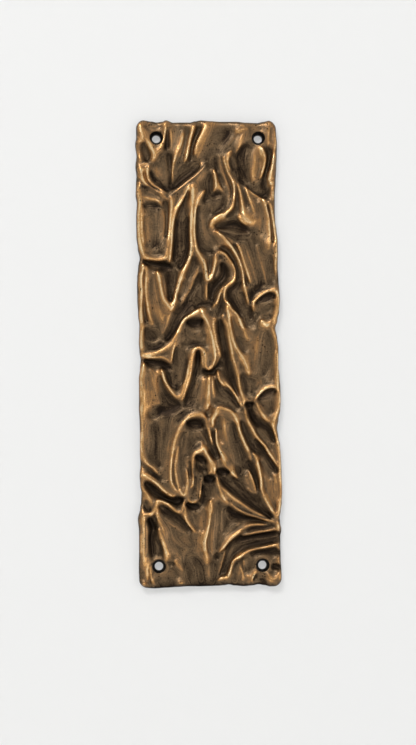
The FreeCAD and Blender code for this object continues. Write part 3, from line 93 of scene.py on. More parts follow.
# Crest and valley lines of the relief: level, then points (x, z) along the line.
FOLDS = [
    # top left corner and the hollow under it
    (CREST, [(-36.9, 123.8), (-36, 121), (-35.1, 118), (-34.9, 116), (-36.2, 114.6), (-37.3, 113.8)]),
    (RIDGE, [(-38, 112.4), (-37.8, 109.4), (-36.8, 106.4), (-35.7, 103.5)]),
    (CREST, [(-33.1, 115.8), (-31.2, 112.9), (-29.7, 109.9), (-28.7, 108.2), (-28.8, 105.8),
             (-29.9, 103.8)]),
    (CREST, [(-22.8, 124), (-22.6, 120), (-23.2, 116), (-24, 113.2), (-25.3, 110.5), (-27.4, 108)]),
    (SOFT, [(-33.5, 122.5), (-29, 122.8), (-25, 122.5)]),
    (LOW, [(-34.2, 113), (-33.5, 110), (-32.5, 107), (-32.8, 104.5)]),
    (DEEP, [(-21.7, 121), (-21.8, 116), (-22, 111)]),
    # the folds that run down from the top edge into the fork
    (RIDGE, [(-12.9, 120.5), (-14.4, 113.2), (-16.5, 108.8), (-17.9, 104.6), (-18.8, 100.5), (-19, 96),
             (-19, 92.6)]),
    (SOFT, [(-20, 121.7), (-19.4, 115.2), (-18.7, 109)]),
    (DEEP, [(-21, 108), (-20.3, 103), (-19.9, 98), (-20, 94), (-20.2, 90)]),
    (CREST, [(-6.9, 123.2), (-8.4, 119.1), (-9.4, 115.2), (-10.4, 109.9), (-11, 107), (-12.4, 103.5)]),
    (MID, [(-10.5, 121), (-12, 115), (-13.5, 109), (-15.5, 103), (-17.3, 97)]),
    (DEEP, [(-4, 122.5), (-6.3, 117.5), (-8, 112.5), (-9, 107), (-9.5, 104)]),
    (RIDGE, [(-0.3, 123.2), (-3.2, 118.2), (-5.6, 112.9), (-6.8, 107.9)]),
    (SOFT, [(1.5, 122), (-1, 117), (-3.5, 111), (-5.5, 105.5)]),
    (RIDGE, [(-19.4, 85.8), (-16.5, 87.9), (-13.5, 90.2), (-10.6, 92.6), (-6.2, 96.1), (-3.2, 99),
             (-1, 102)]),
    (DEEP, [(-18.7, 90), (-14.5, 94.5), (-10, 98), (-6, 101.5), (-4, 103.5)]),
    (LOW, [(-16, 98.5), (-12.5, 101), (-9, 103)]),
    (CREST, [(-31.2, 101.7), (-32.3, 99.6), (-32.4, 97), (-31.8, 94.1), (-29.7, 91.1), (-26.8, 89.1),
             (-24.1, 87.3), (-22.4, 85.8)]),
    (CREST, [(-36.2, 100.3), (-35.6, 97), (-34.9, 94.4), (-33.7, 92), (-30.9, 89.9), (-27.6, 88),
             (-24.7, 86.1), (-23.2, 84.6), (-22, 83.2)]),
    (RIDGE, [(-36.2, 100.6), (-34, 102), (-31.6, 102.4)]),
    (LOW, [(-33.9, 98), (-33.4, 94.7), (-31.6, 91.6), (-28.5, 89.2), (-26, 87.3)]),
    (MID, [(-27, 103), (-25.5, 98), (-23.5, 93.5), (-22, 90)]),
    (LOW, [(-30.3, 98), (-28.5, 94.2), (-25, 91), (-22, 88.3)]),
    (MID, [(-24.5, 107), (-23, 102), (-22.5, 97), (-21.8, 92)]),
    # the oblong panel on the left
    (CREST, [(-36.2, 90.8), (-37.6, 89), (-37.8, 86.7), (-37, 83.5), (-36.6, 80), (-37.2, 74.8),
             (-37.3, 66), (-36.8, 60.1), (-35.9, 56), (-34.7, 52.8), (-33.2, 51.3), (-30.3, 50.6),
             (-26.8, 50.3), (-24.1, 50.7), (-22.4, 52.2), (-21.7, 56.6)]),
    (CREST, [(-19.7, 84.8), (-19.6, 80.1), (-19.9, 76.3), (-20.4, 71.3), (-20.9, 66), (-21.3, 60.7),
             (-21.8, 57)]),
    (CREST, [(-9.8, 91), (-12.4, 85.4), (-14.4, 81.6), (-16.8, 77.8), (-18.2, 73.6), (-19, 68.9),
             (-19.4, 63.9), (-19.7, 59.5), (-20.1, 55.1), (-20.7, 51.3), (-21, 48.9)]),
    (RIDGE, [(-35.6, 77.5), (-35.7, 72), (-35.4, 65), (-34.7, 57.8)]),
    (SOFT, [(-25.6, 78.4), (-24.1, 74.8), (-23.8, 70.7), (-24, 66), (-25, 60)]),
    (RIDGE, [(-35.5, 84.5), (-31, 83.3), (-27, 82.3), (-24.8, 80)]),
    (LOW, [(-33.7, 79.4), (-31.3, 80.4), (-28.5, 80.2), (-26.4, 79.4)]),
    (MID, [(-30.5, 77), (-30.2, 70), (-30, 63), (-29.5, 57)]),
    (MID, [(-33.3, 74), (-33.2, 66), (-32, 58)]),
    (SOFT, [(-33, 54.3), (-29, 53.3), (-25, 53.8)]),
    (LOW, [(-23, 82), (-22.2, 77), (-22.2, 70), (-22.7, 63)]),
    (SOFT, [(-33.5, 88), (-29.5, 86.3), (-26, 84)]),
    (PIT, [(-34.6, 49.4), (-31, 48.4), (-26.5, 47.9), (-23, 47.4), (-20.8, 46.8)]),
    # the dark trough and the long double ridge beside it
    (DEEP, [(-10.6, 87.6), (-12, 83.5), (-14.2, 78), (-16, 72), (-17, 65), (-17.3, 58), (-18, 50)]),
    (LOW, [(-13, 78), (-14, 70), (-14.2, 62), (-14.5, 54)]),
    (DEEP, [(-11.3, 74), (-11.6, 66), (-11.5, 59), (-12.5, 52.5), (-15.5, 46)]),
    (CREST, [(-8, 91), (-8.1, 85.4), (-8.2, 81.6), (-8.7, 76.3), (-9.1, 70.7), (-9.3, 65.4), (-9.1, 60.4),
             (-9.1, 57.2), (-9.7, 53.1), (-10.6, 50.1), (-12.1, 46.9), (-14.2, 42.5), (-15.6, 38.8),
             (-16.5, 35.3), (-17.4, 32.4), (-17.9, 29.1), (-18.8, 26.8), (-19.7, 24.4), (-20.6, 22.6)]),
    (SOFT, [(-20.6, 22.6), (-21.8, 18.5), (-23.2, 14.1), (-25, 10.6)]),
    (CREST, [(-1.5, 87.9), (-3.5, 85.2), (-5.9, 81), (-6.8, 77.2), (-7.1, 72.8), (-7.4, 68.4), (-7.4, 63.9),
             (-6.9, 59.5), (-6.2, 55.4), (-4.7, 52.5), (-2.9, 49.8), (-1.8, 46.9), (-1.3, 43.9), (-1.2, 41),
             (-0.4, 39.3), (1.2, 40.4), (2.3, 42.6), (2.9, 44.8), (3.4, 48.4), (3.9, 51.3), (3.9, 52.8)]),
    (SOFT, [(-8.2, 84), (-8.3, 72), (-8.3, 64), (-8, 58)]),
    (LOW, [(-7.6, 52), (-7.8, 47.5), (-9.5, 43.5), (-11, 40)]),
    (MID, [(0.8, 51.5), (0.6, 47), (0.4, 43)]),
    (LOW, [(-4.8, 79), (-5.5, 73), (-5.5, 66), (-4.6, 60), (-2.5, 55.8), (1.5, 54.6)]),
    # the cheek and the tooth in the middle of the top half
    (MID, [(0.5, 80), (-1, 74), (-1.5, 66), (0.5, 61), (4, 58.5)]),
    (LOW, [(1, 97), (0.8, 91), (0.6, 86), (-1.5, 82)]),
    (DEEP, [(2, 85.5), (4.5, 85.8), (7, 86.3)]),
    (CREST, [(3.3, 99.5), (4, 95.5), (4.5, 92), (4.2, 89.5), (3, 87.3)]),
    (RIDGE, [(5.4, 92), (6.5, 89.2), (8, 87.2)]),
    (LOW, [(6, 97.5), (7.2, 93.5), (8, 90)]),
    (SOFT, [(6.3, 107), (6.8, 102), (8.5, 97), (10.3, 92.3), (11.6, 88), (11.6, 83), (10, 79)]),
    (LOW, [(3.8, 106), (4.6, 102), (5.2, 98)]),
    (LOW, [(8.2, 103.5), (9.7, 98.3), (11.8, 93), (12.9, 88.5), (12.8, 84)]),
    (LOW, [(8.5, 84.5), (8, 80), (6, 77.5), (3, 76)]),
    (SOFT, [(-4, 104.5), (-3, 100)]),
    # the bright curved ridge with the bulb at its foot
    (CREST, [(8.7, 106.5), (9.2, 103), (10, 100), (11.5, 96.5), (13, 93.5), (14, 90.5), (14.3, 87),
             (14, 83.3), (13.5, 80), (12.5, 78), (10.5, 76), (8.5, 74.6), (6.5, 74.3), (4, 72.5), (2, 70.5),
             (1, 68)]),
    (CREST, [(12.8, 109.5), (11.3, 107.5), (10.7, 104.5), (11, 101.5), (12, 99)]),
    (LOW, [(15.3, 91), (15.8, 85), (15.4, 80), (14.8, 76.5), (12.5, 74.3), (10, 73.2)]),
    (PIT, [(4.5, 68.6), (9, 69), (13, 70), (15.5, 70), (18, 68.6), (20, 67.2)]),
    (MID, [(6, 66.6), (11, 64.2), (16, 62), (20, 63.5)]),
    (RIDGE, [(16, 92), (17.5, 86), (18.5, 80), (18.9, 76)]),
    (CREST, [(18.9, 76), (20, 73), (22.5, 70.2)]),
    (RIDGE, [(16.3, 74), (18, 71.4), (20.5, 69.4)]),
    (RIDGE, [(20, 91.5), (21.5, 86), (23.5, 80), (25, 75.5)]),
    (MID, [(18.7, 91.5), (19.8, 86), (21.2, 79.5)]),
    (SOFT, [(27, 80), (28, 72), (27.5, 64)]),
    # top middle and the leaf in the top right
    (MID, [(12, 121), (7, 115), (2, 109), (-1, 104)]),
    (SOFT, [(17, 119), (12, 113.5), (8.5, 109.5)]),
    (RIDGE, [(15.5, 120.5), (18.5, 121), (22, 121.5)]),
    (SOFT, [(22, 121.8), (29, 121.3)]),
    (MID, [(6, 122), (4, 117), (0.5, 112)]),
    (RIDGE, [(19.5, 118.5), (17.5, 113), (15.5, 108.7)]),
    (DEEP, [(20.6, 112.3), (17.2, 107.6), (17.8, 102), (20, 97), (22.3, 92.4)]),
    (MID, [(12.8, 105.5), (14.2, 100), (17, 95)]),
    (SOFT, [(26, 109.5), (25.4, 103), (24.6, 97), (24, 93)]),
    (CREST, [(29.3, 111), (30.5, 107.5), (31, 105), (30.5, 101), (29.3, 97.5), (28.5, 94.5)]),
    (MID, [(28, 106), (27.8, 100), (26.6, 94)]),
    (DEEP, [(32.5, 113), (33.4, 108), (32.8, 103), (31.4, 98), (30, 94), (29.6, 91), (31.5, 88)]),
    (RIDGE, [(33.3, 123), (32.8, 116), (33, 111.5)]),
    (RIDGE, [(36.3, 122), (36.8, 115), (36, 108.5)]),
    (SOFT, [(34.8, 122), (34.7, 116), (34.6, 111)]),
    (CREST, [(36, 108.5), (35.5, 105), (34.8, 101), (33.8, 97), (33, 94)]),
    (CREST, [(33.5, 92.5), (34.6, 91)]),
    (RIDGE, [(35.2, 89.5), (35, 85.5), (34.8, 82.5)]),
    (DEEP, [(32, 87), (29.5, 85.2), (26, 86.3), (22.7, 88.7), (19.6, 92), (17.4, 94.4)]),
    (RIDGE, [(20.5, 89.8), (24, 86.7), (28, 84)]),
    (CREST, [(28, 84), (30, 82.3), (31, 79.5), (32, 76), (32.8, 72), (33, 68), (33.2, 64), (33, 60),
             (32.3, 56)]),
    (CREST, [(32.6, 82), (33.6, 79), (34.5, 74.5), (35.3, 70), (35.8, 66), (36.3, 62), (36.5, 58),
             (36.5, 53), (36, 47), (36.2, 42)]),
    (LOW, [(32.3, 80), (33.4, 75.5), (34.1, 70), (34.6, 65), (34.8, 60)]),
    # the diagonal double ridge and the broad plane right of it
    (CREST, [(4.5, 65.5), (8, 62.5), (11, 59), (13.5, 56), (15.5, 52.5), (17, 49), (18, 45.5), (18.7, 42),
             (18.9, 39), (19.3, 35), (20, 32), (20.8, 28.5), (21.3, 26)]),
    (CREST, [(15.5, 58.7), (17, 55.5), (18.3, 51.5), (19.5, 47.5), (20.5, 44), (21.5, 41), (22.5, 38)]),
    (LOW, [(13.3, 58.7), (16.1, 54.3), (17.7, 49.7), (19.1, 44.6), (20, 40), (20.7, 36.5)]),
    (SOFT, [(9, 62.8), (13, 60.3), (15.5, 58.9)]),
    (MID, [(15.3, 49.5), (16.5, 45), (17, 40)]),
    (DEEP, [(7, 57), (10.5, 55), (13, 51.5), (14.9, 47.3), (15.6, 43.6), (15.6, 39)]),
    (SOFT, [(20, 57), (22.5, 50), (24.5, 43), (26.5, 36)]),
    (SOFT, [(26, 58), (28, 50), (30, 42), (31, 37)]),
    (MID, [(23, 61), (24.5, 54), (26, 47), (27.5, 39.5), (25.5, 33)]),
    (MID, [(33.5, 52), (34, 45), (34, 38.5)]),
    (MID, [(23, 34.5), (22.5, 30), (23.8, 32.5)]),
    # the hooked ridge under the arch and its branches
    (CREST, [(4.2, 53.4), (5.5, 54), (6.8, 54.2), (8.9, 53.1), (10.6, 51), (12.4, 48.6), (13.6, 46.3),
             (14.4, 43), (13.9, 39.7), (12.4, 37.9), (10.4, 36.5), (8.9, 34.7), (8.3, 32.4), (8.1, 30),
             (8.6, 28.2)]),
    (SOFT, [(11.8, 47.8), (13, 45.7), (13.1, 43.6), (12.4, 41.6)]),
    (PIT, [(7.5, 48), (8.8, 44), (7.5, 40.5), (4.5, 37.2), (2, 34), (1.5, 30.5)]),
    (SOFT, [(7, 52.5), (6.4, 49.8)]),
    (MID, [(5.4, 47), (4.6, 43.2), (3.3, 40.8)]),
    (CREST, [(8.6, 28.2), (10.6, 26.2), (12.1, 23.2), (14.5, 21.2), (15.9, 18.8), (17.1, 15.6),
             (18.6, 12.4)]),
    (RIDGE, [(18.6, 12.4), (19.5, 9.7), (20.9, 6.8)]),
    (CREST, [(9.6, 25.5), (10.4, 21), (10.8, 17.1), (11.4, 13.2), (12.1, 9.1), (13.3, 5.3), (14.5, 2.4),
             (16.8, -1), (18.6, -3.9), (19.8, -6.9), (20.6, -9.8), (21.2, -11.9)]),
    (RIDGE, [(7.1, 20.6), (8.6, 17.4), (9.8, 14.7), (10.4, 11.8), (10.9, 8.2), (11.5, 4.7), (12.1, 1.5),
             (12.4, -1), (13, -3.9), (13.9, -6.5), (14.8, -10.1), (15.5, -13.6), (15.9, -17.2), (16.8, -21),
             (17.7, -23.6), (18.3, -26), (17.1, -27.9), (15.6, -26.3), (14.5, -23.9), (13.3, -21.6),
             (11.5, -19.2), (9.5, -17.2), (5.9, -13.4)]),
    (CREST, [(4.3, -8.9), (5.1, -13.9), (6.5, -16), (8.1, -17.9)]),
    (RIDGE, [(-0.9, 37.6), (-1.2, 33.2), (-1.2, 28.5)]),
    (RIDGE, [(8.3, 35.9), (6.8, 33.5), (5.6, 30.9), (4.8, 27.9), (3.6, 26.2), (2.2, 24.6)]),
    (DEEP, [(0.6, 37), (1.2, 31.5), (2, 28)]),
    (LOW, [(7.5, 32.5), (6.9, 29), (6.6, 26.2), (6, 23.5), (5.3, 20)]),
    (DEEP, [(17.3, 38.5), (14.5, 35.5), (11.5, 32.5), (12.5, 28.5), (15, 24.5), (17.5, 20)]),
    (LOW, [(17.8, 33), (18.8, 27), (19.5, 20), (20.8, 14)]),
    (MID, [(12.6, 19), (14.2, 12.5), (16.2, 6.5), (19, 0.5)]),
    (DEEP, [(6, 17.5), (6.4, 14), (7, 9), (8.2, 3), (8.8, -2.5), (9.8, -8), (12, -14), (13.8, -19),
            (15.5, -23)]),
    (MID, [(1, 21.8), (3.2, 21.2)]),
    # the vee on the left and the strip beside it
    (SOFT, [(-5.3, 46.6), (-6.5, 42.9), (-7.9, 40), (-8.8, 37.4), (-10, 34.4), (-12, 31), (-14.8, 26.5)]),
    (DEEP, [(-4.3, 43), (-6, 38.5), (-8, 34.5), (-10, 31)]),
    (LOW, [(-12.3, 39), (-14, 34), (-15.8, 29)]),
    (CREST, [(-27.6, 44.2), (-26.3, 39.7), (-25.6, 35.6), (-24.9, 32.1), (-24, 28.8), (-22.6, 26.8),
             (-21.2, 24.7), (-20.4, 23.2)]),
    (SOFT, [(-24.7, 41.5), (-23.8, 37.4), (-23.1, 33.2), (-22.4, 30.3)]),
    (DEEP, [(-21.5, 43), (-21, 37.5), (-20.7, 32), (-20.4, 28.3)]),
    (LOW, [(-18.2, 44), (-18.8, 37.5), (-19.2, 32)]),
    (CREST, [(-35, 48.6), (-35.1, 44.8), (-35.9, 39.1), (-35.5, 33), (-35.9, 28.5), (-36.3, 23),
             (-36.2, 17.9), (-36.4, 9), (-36.3, 3.8), (-35.6, 0)]),
    (RIDGE, [(-33.2, 47.2), (-33.4, 43.2), (-33.7, 37), (-33.5, 30.9), (-32.9, 26.8), (-32.4, 23.2),
             (-31.5, 19.7), (-30, 15.6)]),
    (LOW, [(-34.3, 45), (-34.8, 38), (-34.5, 31), (-34.5, 24), (-33.6, 17)]),
    (SOFT, [(-29, 42), (-29, 36), (-28, 30), (-26, 22), (-24.5, 17)]),
    (MID, [(-31, 40), (-31, 30), (-29.5, 22), (-27.5, 15)]),
    (DEEP, [(-33.2, 13), (-31.8, 9), (-29, 7.5)]),
    (MID, [(-33.5, 6.5), (-29.5, 3.8), (-25, 5.5)]),
    (DEEP, [(-10, 33), (-13, 25), (-16, 20.5), (-18.5, 16), (-20.8, 11), (-23, 7.8)]),
    (LOW, [(-9, 25.5), (-12.5, 22), (-16.6, 16.2), (-19.6, 11)]),
    (LOW, [(-6.5, 35), (-5, 31), (-3.5, 36)]),
    (DEEP, [(-7.5, 24.3), (-4.5, 26.3), (-1, 26.6), (1.6, 26)]),
    # the arch, its wedge and the winding ridge that comes down from it
    (CREST, [(-35.2, -1.2), (-32.6, -1), (-28.5, 0), (-24, 2), (-20.5, 4.6), (-18.2, 8.5), (-16.8, 11.5),
             (-15.6, 14.1), (-14.1, 16.8), (-12.4, 18.8), (-10, 20), (-7.6, 21.5), (-5.6, 23.2),
             (-3.8, 24)]),
    (RIDGE, [(-34.6, -2.3), (-30, -2.2), (-26, -2.2), (-23, -3.2), (-20.2, -5.2)]),
    (SOFT, [(-27, -1), (-23.5, -0.6), (-21.3, 1)]),
    (RIDGE, [(-15.9, 9.7), (-17.1, 7.6), (-17.9, 5.9), (-18.8, 3.2), (-19.5, 0.5), (-20, -2.8),
             (-20.3, -4.8)]),
    (PIT, [(-34.5, -3.9), (-30, -4.9), (-26, -5.6), (-22.5, -7.5), (-20.5, -7.6)]),
    (CREST, [(-3.4, 24), (-3.4, 21.5), (-2.6, 19.5), (-1.4, 17.6), (-0.3, 15), (0.8, 11.8), (1.7, 8.6),
             (2.4, 5), (2.9, 1.8), (3.1, -1), (2.9, -3.9), (1.8, -6.9), (0.6, -8.3), (-0.6, -8.6),
             (-1.8, -7.6), (-2.2, -5.7), (-2.1, -2.8), (-2.6, -0.1), (-3.8, 1.9), (-5.6, 2.8), (-7.4, 2.2),
             (-8.7, 0.5), (-9.7, -2.5), (-10.6, -5.7), (-11.5, -9.5), (-12.1, -12.8), (-13.2, -16.6),
             (-14.1, -19.8), (-15, -22.2), (-16.2, -23.4), (-17.6, -23.5), (-19.1, -22.2), (-20.6, -20.1),
             (-22.1, -17.8), (-23.5, -15.4), (-24.4, -13.1), (-25, -10.4), (-25.6, -8.6)]),
    (RIDGE, [(-7.6, 1.2), (-8.4, -0.7), (-9.3, -3.9), (-9.7, -7.8), (-10.4, -11.9), (-11.6, -16.3),
             (-12.6, -19.2), (-13.8, -23.1), (-14.9, -25.4)]),
    (RIDGE, [(-4.4, 0.5), (-3.7, -2.8), (-3.5, -5.7), (-2.6, -8.1)]),
    (RIDGE, [(3.6, 18.8), (2.3, 16.5), (2.4, 13.2), (3.1, 9.7), (3.7, 5.9), (4.8, 2.2), (5.5, -0.4),
             (6.1, -2.3)]),
    (SOFT, [(4.8, -3), (4, -5.5), (2.6, -7.6)]),
    (PIT, [(6.2, -4.6), (4.2, -7.7), (2, -10.1), (-1, -10.6), (-3.5, -9.3)]),
    (PIT, [(-11.5, 16.8), (-9, 16.4), (-6, 16.2), (-3.8, 17.6)]),
    (MID, [(-13, 12.8), (-9, 9), (-5, 8), (-2, 9.5)]),
    (MID, [(-14.5, 5), (-11.5, 4.5), (-7, 5.5), (-2.5, 5)]),
    (LOW, [(-17.3, 3), (-18.2, -2), (-18.3, -8), (-17.8, -14), (-17, -19)]),
    (MID, [(-13.6, 0), (-14.4, -6), (-15.8, -13), (-16.6, -17.5)]),
    (LOW, [(-12.2, -3), (-13.4, -10), (-15, -16.5)]),
    (DEEP, [(-22.2, -10), (-21.2, -14), (-19.6, -18.3)]),
    (PIT, [(-5.9, 0.9), (-5.8, -2), (-6.1, -6)]),
    (DEEP, [(-6.1, -6), (-7.2, -11), (-8.5, -16.5), (-10.8, -22), (-12.8, -27)]),
    (MID, [(-6.3, -13.5), (-7.3, -18), (-8.8, -23)]),
    # left edge and the ragged plane in the lower left
    (RIDGE, [(-34.7, -5.1), (-35.4, -8.4), (-36, -11.9), (-36.2, -15.1), (-35.6, -18.9), (-35.1, -21.9),
             (-35.6, -25.4), (-36.3, -28.9), (-36.3, -32.2), (-36, -41.7), (-36.5, -47.3), (-36.3, -51.1),
             (-35.6, -55.2), (-34.3, -57.9), (-32.4, -59.9), (-30.6, -61.1), (-28.5, -63.5),
             (-27.1, -65.2)]),
    (SOFT, [(-31.5, -8.5), (-30, -16), (-29, -24), (-27, -27)]),
    (SOFT, [(-33, -12), (-32.5, -20), (-32.5, -27.5)]),
    (DEEP, [(-26.5, -12), (-25, -19), (-22.5, -23.5), (-20, -26.3), (-16.3, -27.8)]),
    (DEEP, [(-25.5, -29), (-28.5, -32), (-31.5, -33.8)]),
    (SOFT, [(-34.3, -36), (-33.8, -46), (-34, -52)]),
    (LOW, [(-30, -38), (-28.5, -46), (-29, -55), (-27, -60.5)]),
    (MID, [(-25, -34), (-24.5, -42), (-25.5, -52), (-26, -58)]),
    (LOW, [(-35.8, -59), (-33, -61.9), (-29.8, -65), (-26.6, -67.5)]),
    # the lower arch and the folds inside it
    (CREST, [(-2.1, -35.4), (-3.8, -33.3), (-6.2, -32.9), (-8.8, -33.4), (-11.2, -34.5), (-13.5, -36.8),
             (-15.6, -39.4), (-17.1, -42.3), (-18.2, -45.2), (-19.1, -48.5), (-19.7, -52.3), (-20.3, -56.1),
             (-20.7, -59.9), (-20.9, -64.1), (-20.7, -67.9), (-19.7, -70.8), (-18.2, -73.2),
             (-17.1, -74.4)]),
    (SOFT, [(-11.8, -30.4), (-15, -33.4), (-18.2, -37.2), (-19.7, -40.1), (-20.9, -45.8), (-22.1, -49.4),
            (-22.9, -55.2), (-23.2, -62), (-22.9, -67.9)]),
    (RIDGE, [(-16.8, -49.9), (-17.6, -53.5), (-18.2, -57), (-18.7, -60.5), (-18.5, -64.1), (-17.9, -67.9),
             (-17.1, -71.4), (-15.9, -74.1), (-14.7, -75.8), (-13.8, -75.8), (-12.9, -73.8), (-12.4, -70.8),
             (-12.1, -67.9), (-12.2, -64.9), (-12.4, -62.3)]),
    (MID, [(-18.9, -52), (-19.5, -58), (-19.7, -64), (-19.1, -69), (-17, -73)]),
    (PIT, [(-12, -37), (-9, -37.6), (-6, -38), (-4.2, -39.5)]),
    (MID, [(-13.5, -43), (-14.5, -50), (-15.5, -57), (-15.5, -64), (-14.4, -71)]),
    (MID, [(-8, -43), (-10.5, -48), (-11.8, -55)]),
    (CREST, [(-10.6, -72), (-9.4, -71), (-9, -66.4), (-9.4, -62), (-9.4, -58.2), (-9, -55.2), (-7.9, -53.5),
             (-6.2, -53), (-4.4, -51.9), (-3.4, -51.4), (-2.6, -52.6), (-1.5, -54.6), (0, -57.3),
             (1.2, -59.2), (1.9, -60.7), (2.3, -62.9), (2.1, -64.9)]),
    (RIDGE, [(-4.3, -47.5), (-4, -50), (-3.6, -51.5)]),
    (RIDGE, [(0.1, -60), (0.7, -62), (0.3, -63.8), (-0.6, -64.6)]),
    (PIT, [(-7.4, -55.6), (-5, -56.8), (-2.8, -58.8)]),
    (DEEP, [(-6.8, -59.5), (-4.8, -62), (-2.5, -62.8)]),
    (SOFT, [(-4.7, -64.6), (-6.2, -66.4), (-6.8, -69.4), (-6.6, -72.9), (-7.1, -76.4)]),
    (RIDGE, [(-3.5, -66.7), (-5, -68.8), (-5.1, -71.7), (-5.4, -75.2), (-5.9, -77.9)]),
    (RIDGE, [(-12, -78), (-10.5, -79.5), (-8.5, -79.6), (-6.3, -78.3)]),
    (LOW, [(-10.8, -67), (-10.8, -62.5), (-11, -58)]),
    (MID, [(-8, -66), (-8.2, -71), (-9.5, -75.5)]),
    (PIT, [(-3, -67.2), (-0.3, -67.3), (2, -67.4)]),
    (DEEP, [(-3.6, -71), (-3.6, -76), (-4.3, -81)]),
    (PIT, [(-12.6, -80.8), (-9.7, -82), (-6.6, -81.6)]),
    (RIDGE, [(-2.1, -35.4), (-1.2, -39), (-0.2, -43), (0.6, -46.1), (1.6, -49.2)]),
    (MID, [(-5.6, -42.3), (-4.7, -44.4), (-2.9, -46.7), (-1.2, -48.8)]),
    (DEEP, [(-2.6, -41.5), (-1.4, -46), (0.6, -51), (3, -56.5)]),
    # the upright ridge between the arches and the leaf
    (CREST, [(0, -11.9), (-0.1, -15.1), (-0.4, -19.5), (-0.6, -23.9), (-0.9, -27.8), (-1.2, -30.4)]),
    (RIDGE, [(1.5, -12.5), (1.5, -16.6), (1.8, -20.4), (2.4, -23.9)]),
    (SOFT, [(-3.2, -14), (-3.8, -20), (-4.5, -25), (-6, -29.5)]),
    (LOW, [(3.8, -14), (5.3, -19), (8, -22), (10.5, -24)]),
    (DEEP, [(7.2, -18.8), (10.5, -21.5), (13.3, -25), (15.5, -29)]),
    (MID, [(3, -26.5), (6, -26), (10, -27.5), (14, -31.5)]),
    (LOW, [(0.8, -32), (-1, -33), (0.6, -29)]),
    (CREST, [(1.2, -35.6), (2.7, -33.6), (3.9, -31), (4.8, -29.5), (6.2, -29.4), (8.3, -30.1), (10.6, -31),
             (12.4, -32.8), (13.9, -35.4), (15.1, -38.6), (15.9, -42), (17.1, -45.2), (18.6, -48.8),
             (20.1, -52), (21.2, -54.9), (21.8, -57.6)]),
    (CREST, [(1.2, -35.6), (1.6, -38), (1.2, -39.8)]),
    (CREST, [(3.6, -40.8), (3.3, -44.6), (3.6, -48.2), (4.8, -51.7), (6.5, -55.2), (8, -58.5), (9.5, -61.4),
             (11.2, -63.8), (13, -65.8), (14.5, -67.3)]),
    (DEEP, [(1.9, -42), (2.3, -46.5), (3.1, -51.5), (4.8, -56)]),
    (SOFT, [(7.5, -34), (8, -42), (9.8, -50), (12.2, -58)]),
    (LOW, [(4.8, -34.5), (4.9, -41), (5.5, -48)]),
    (LOW, [(12.2, -38), (13.8, -46), (16.2, -53), (17.8, -59)]),
    (LOW, [(14.8, -61), (15.8, -65)]),
    (SOFT, [(5.6, -58.6), (4.2, -60.6)]),
    (PIT, [(4, -63.4), (7, -64), (9.8, -63.9)]),
    # the sliver, the right leaf and the long diagonal
    (RIDGE, [(20.6, -62.9), (21.8, -66.1), (23, -69.4), (23.9, -72.9), (24.2, -75.2)]),
    (SOFT, [(19.2, -72.3), (21.5, -74.1), (23.5, -75.5)]),
    (SOFT, [(19, -66), (20.3, -70)]),
    (DEEP, [(19.8, -58.5), (21.8, -61.8), (23.6, -66), (25, -70.5), (25.3, -73.5)]),
    (CREST, [(22.7, -53.5), (24.2, -56.4), (25.4, -59.9), (26.2, -63.5), (26.8, -67), (27.1, -69.9),
             (27.1, -72.9), (28, -76.1), (29.5, -79.4), (31.2, -82.5), (33.3, -85.6), (35.4, -88)]),
    (SOFT, [(33.6, -65.2), (35.5, -69), (36, -74), (36.1, -79)]),
    (MID, [(29, -66), (30.5, -72.5), (32.6, -79), (34.8, -84.5)]),
    (LOW, [(27, -58), (30, -62), (32, -67)]),
    (CREST, [(18.6, -29.8), (19.2, -33.6), (20.4, -36.6), (22, -39.6), (24.5, -44.4), (26.8, -47.3),
             (29.5, -50.2), (31.2, -53.5), (33, -56.1), (34.8, -58.8), (36.5, -61.4)]),
    (SOFT, [(17.1, -29.2), (18.3, -33.1), (19.5, -37.2)]),
    (LOW, [(17.2, -37), (19, -42), (21.6, -48), (24.5, -53)]),
    (DEEP, [(24, -47), (27, -51), (30, -55.5), (33.3, -60.5), (35.8, -64)]),
    (MID, [(25, -41), (29, -46.5), (33, -52.5)]),
    (DEEP, [(30, -39), (32.5, -43.3), (34.5, -47.8)]),
    (SOFT, [(31.5, -50), (34, -54.5), (36, -58.3)]),
    (CREST, [(36.5, 0.9), (36.8, -4), (36.6, -10.7), (36.5, -16.6), (36.5, -18.9), (37.3, -21.9),
             (37.6, -25.4), (37.3, -28.9), (36.2, -32.2), (34.5, -35.1), (33.6, -38.4), (34.5, -42),
             (35.9, -46.4), (37, -50.8), (37.4, -55.2), (37.3, -59.9), (37.3, -64.9), (37.6, -70.8),
             (37.6, -76.7), (37.1, -81.1), (36.6, -84), (35.9, -87.4)]),
    # the two ovals on the right edge and the panel between them
    (CREST, [(23.9, 22.5), (23.9, 26.8), (25.4, 28.5), (27.4, 30.3), (29.8, 32.1), (31.8, 33.2),
             (34.2, 33.8), (35.9, 33.5), (37, 31.5), (37.5, 28.5), (37.3, 25), (36.7, 21.5), (35.5, 18.5),
             (34.3, 16.2)]),
    (CREST, [(28, 17.5), (29.5, 15)]),
    (RIDGE, [(29.5, 15), (31.5, 15.2), (34.3, 15.8)]),
    (MID, [(27, 25.2), (31, 22.5), (34.3, 25.5)]),
    (MID, [(29, 20), (33, 19.5)]),
    (DEEP, [(25.6, 26.9), (29, 30), (32.3, 31.3), (35.4, 30.6)]),
    (MID, [(24.4, 20.5), (26, 18.2)]),
    (DEEP, [(21.8, 24.5), (22.5, 21.5), (22.4, 18.5)]),
    (RIDGE, [(33.5, 14), (34.5, 11), (35.8, 7.5), (36.4, 3.5), (36.5, 0.9)]),
    (MID, [(31, 11), (32, 4), (31, -4), (29, -12)]),
    (SOFT, [(27, 12), (25.5, 5), (24.5, -3), (23.5, -9)]),
    (SOFT, [(33.8, -9), (33.5, -15)]),
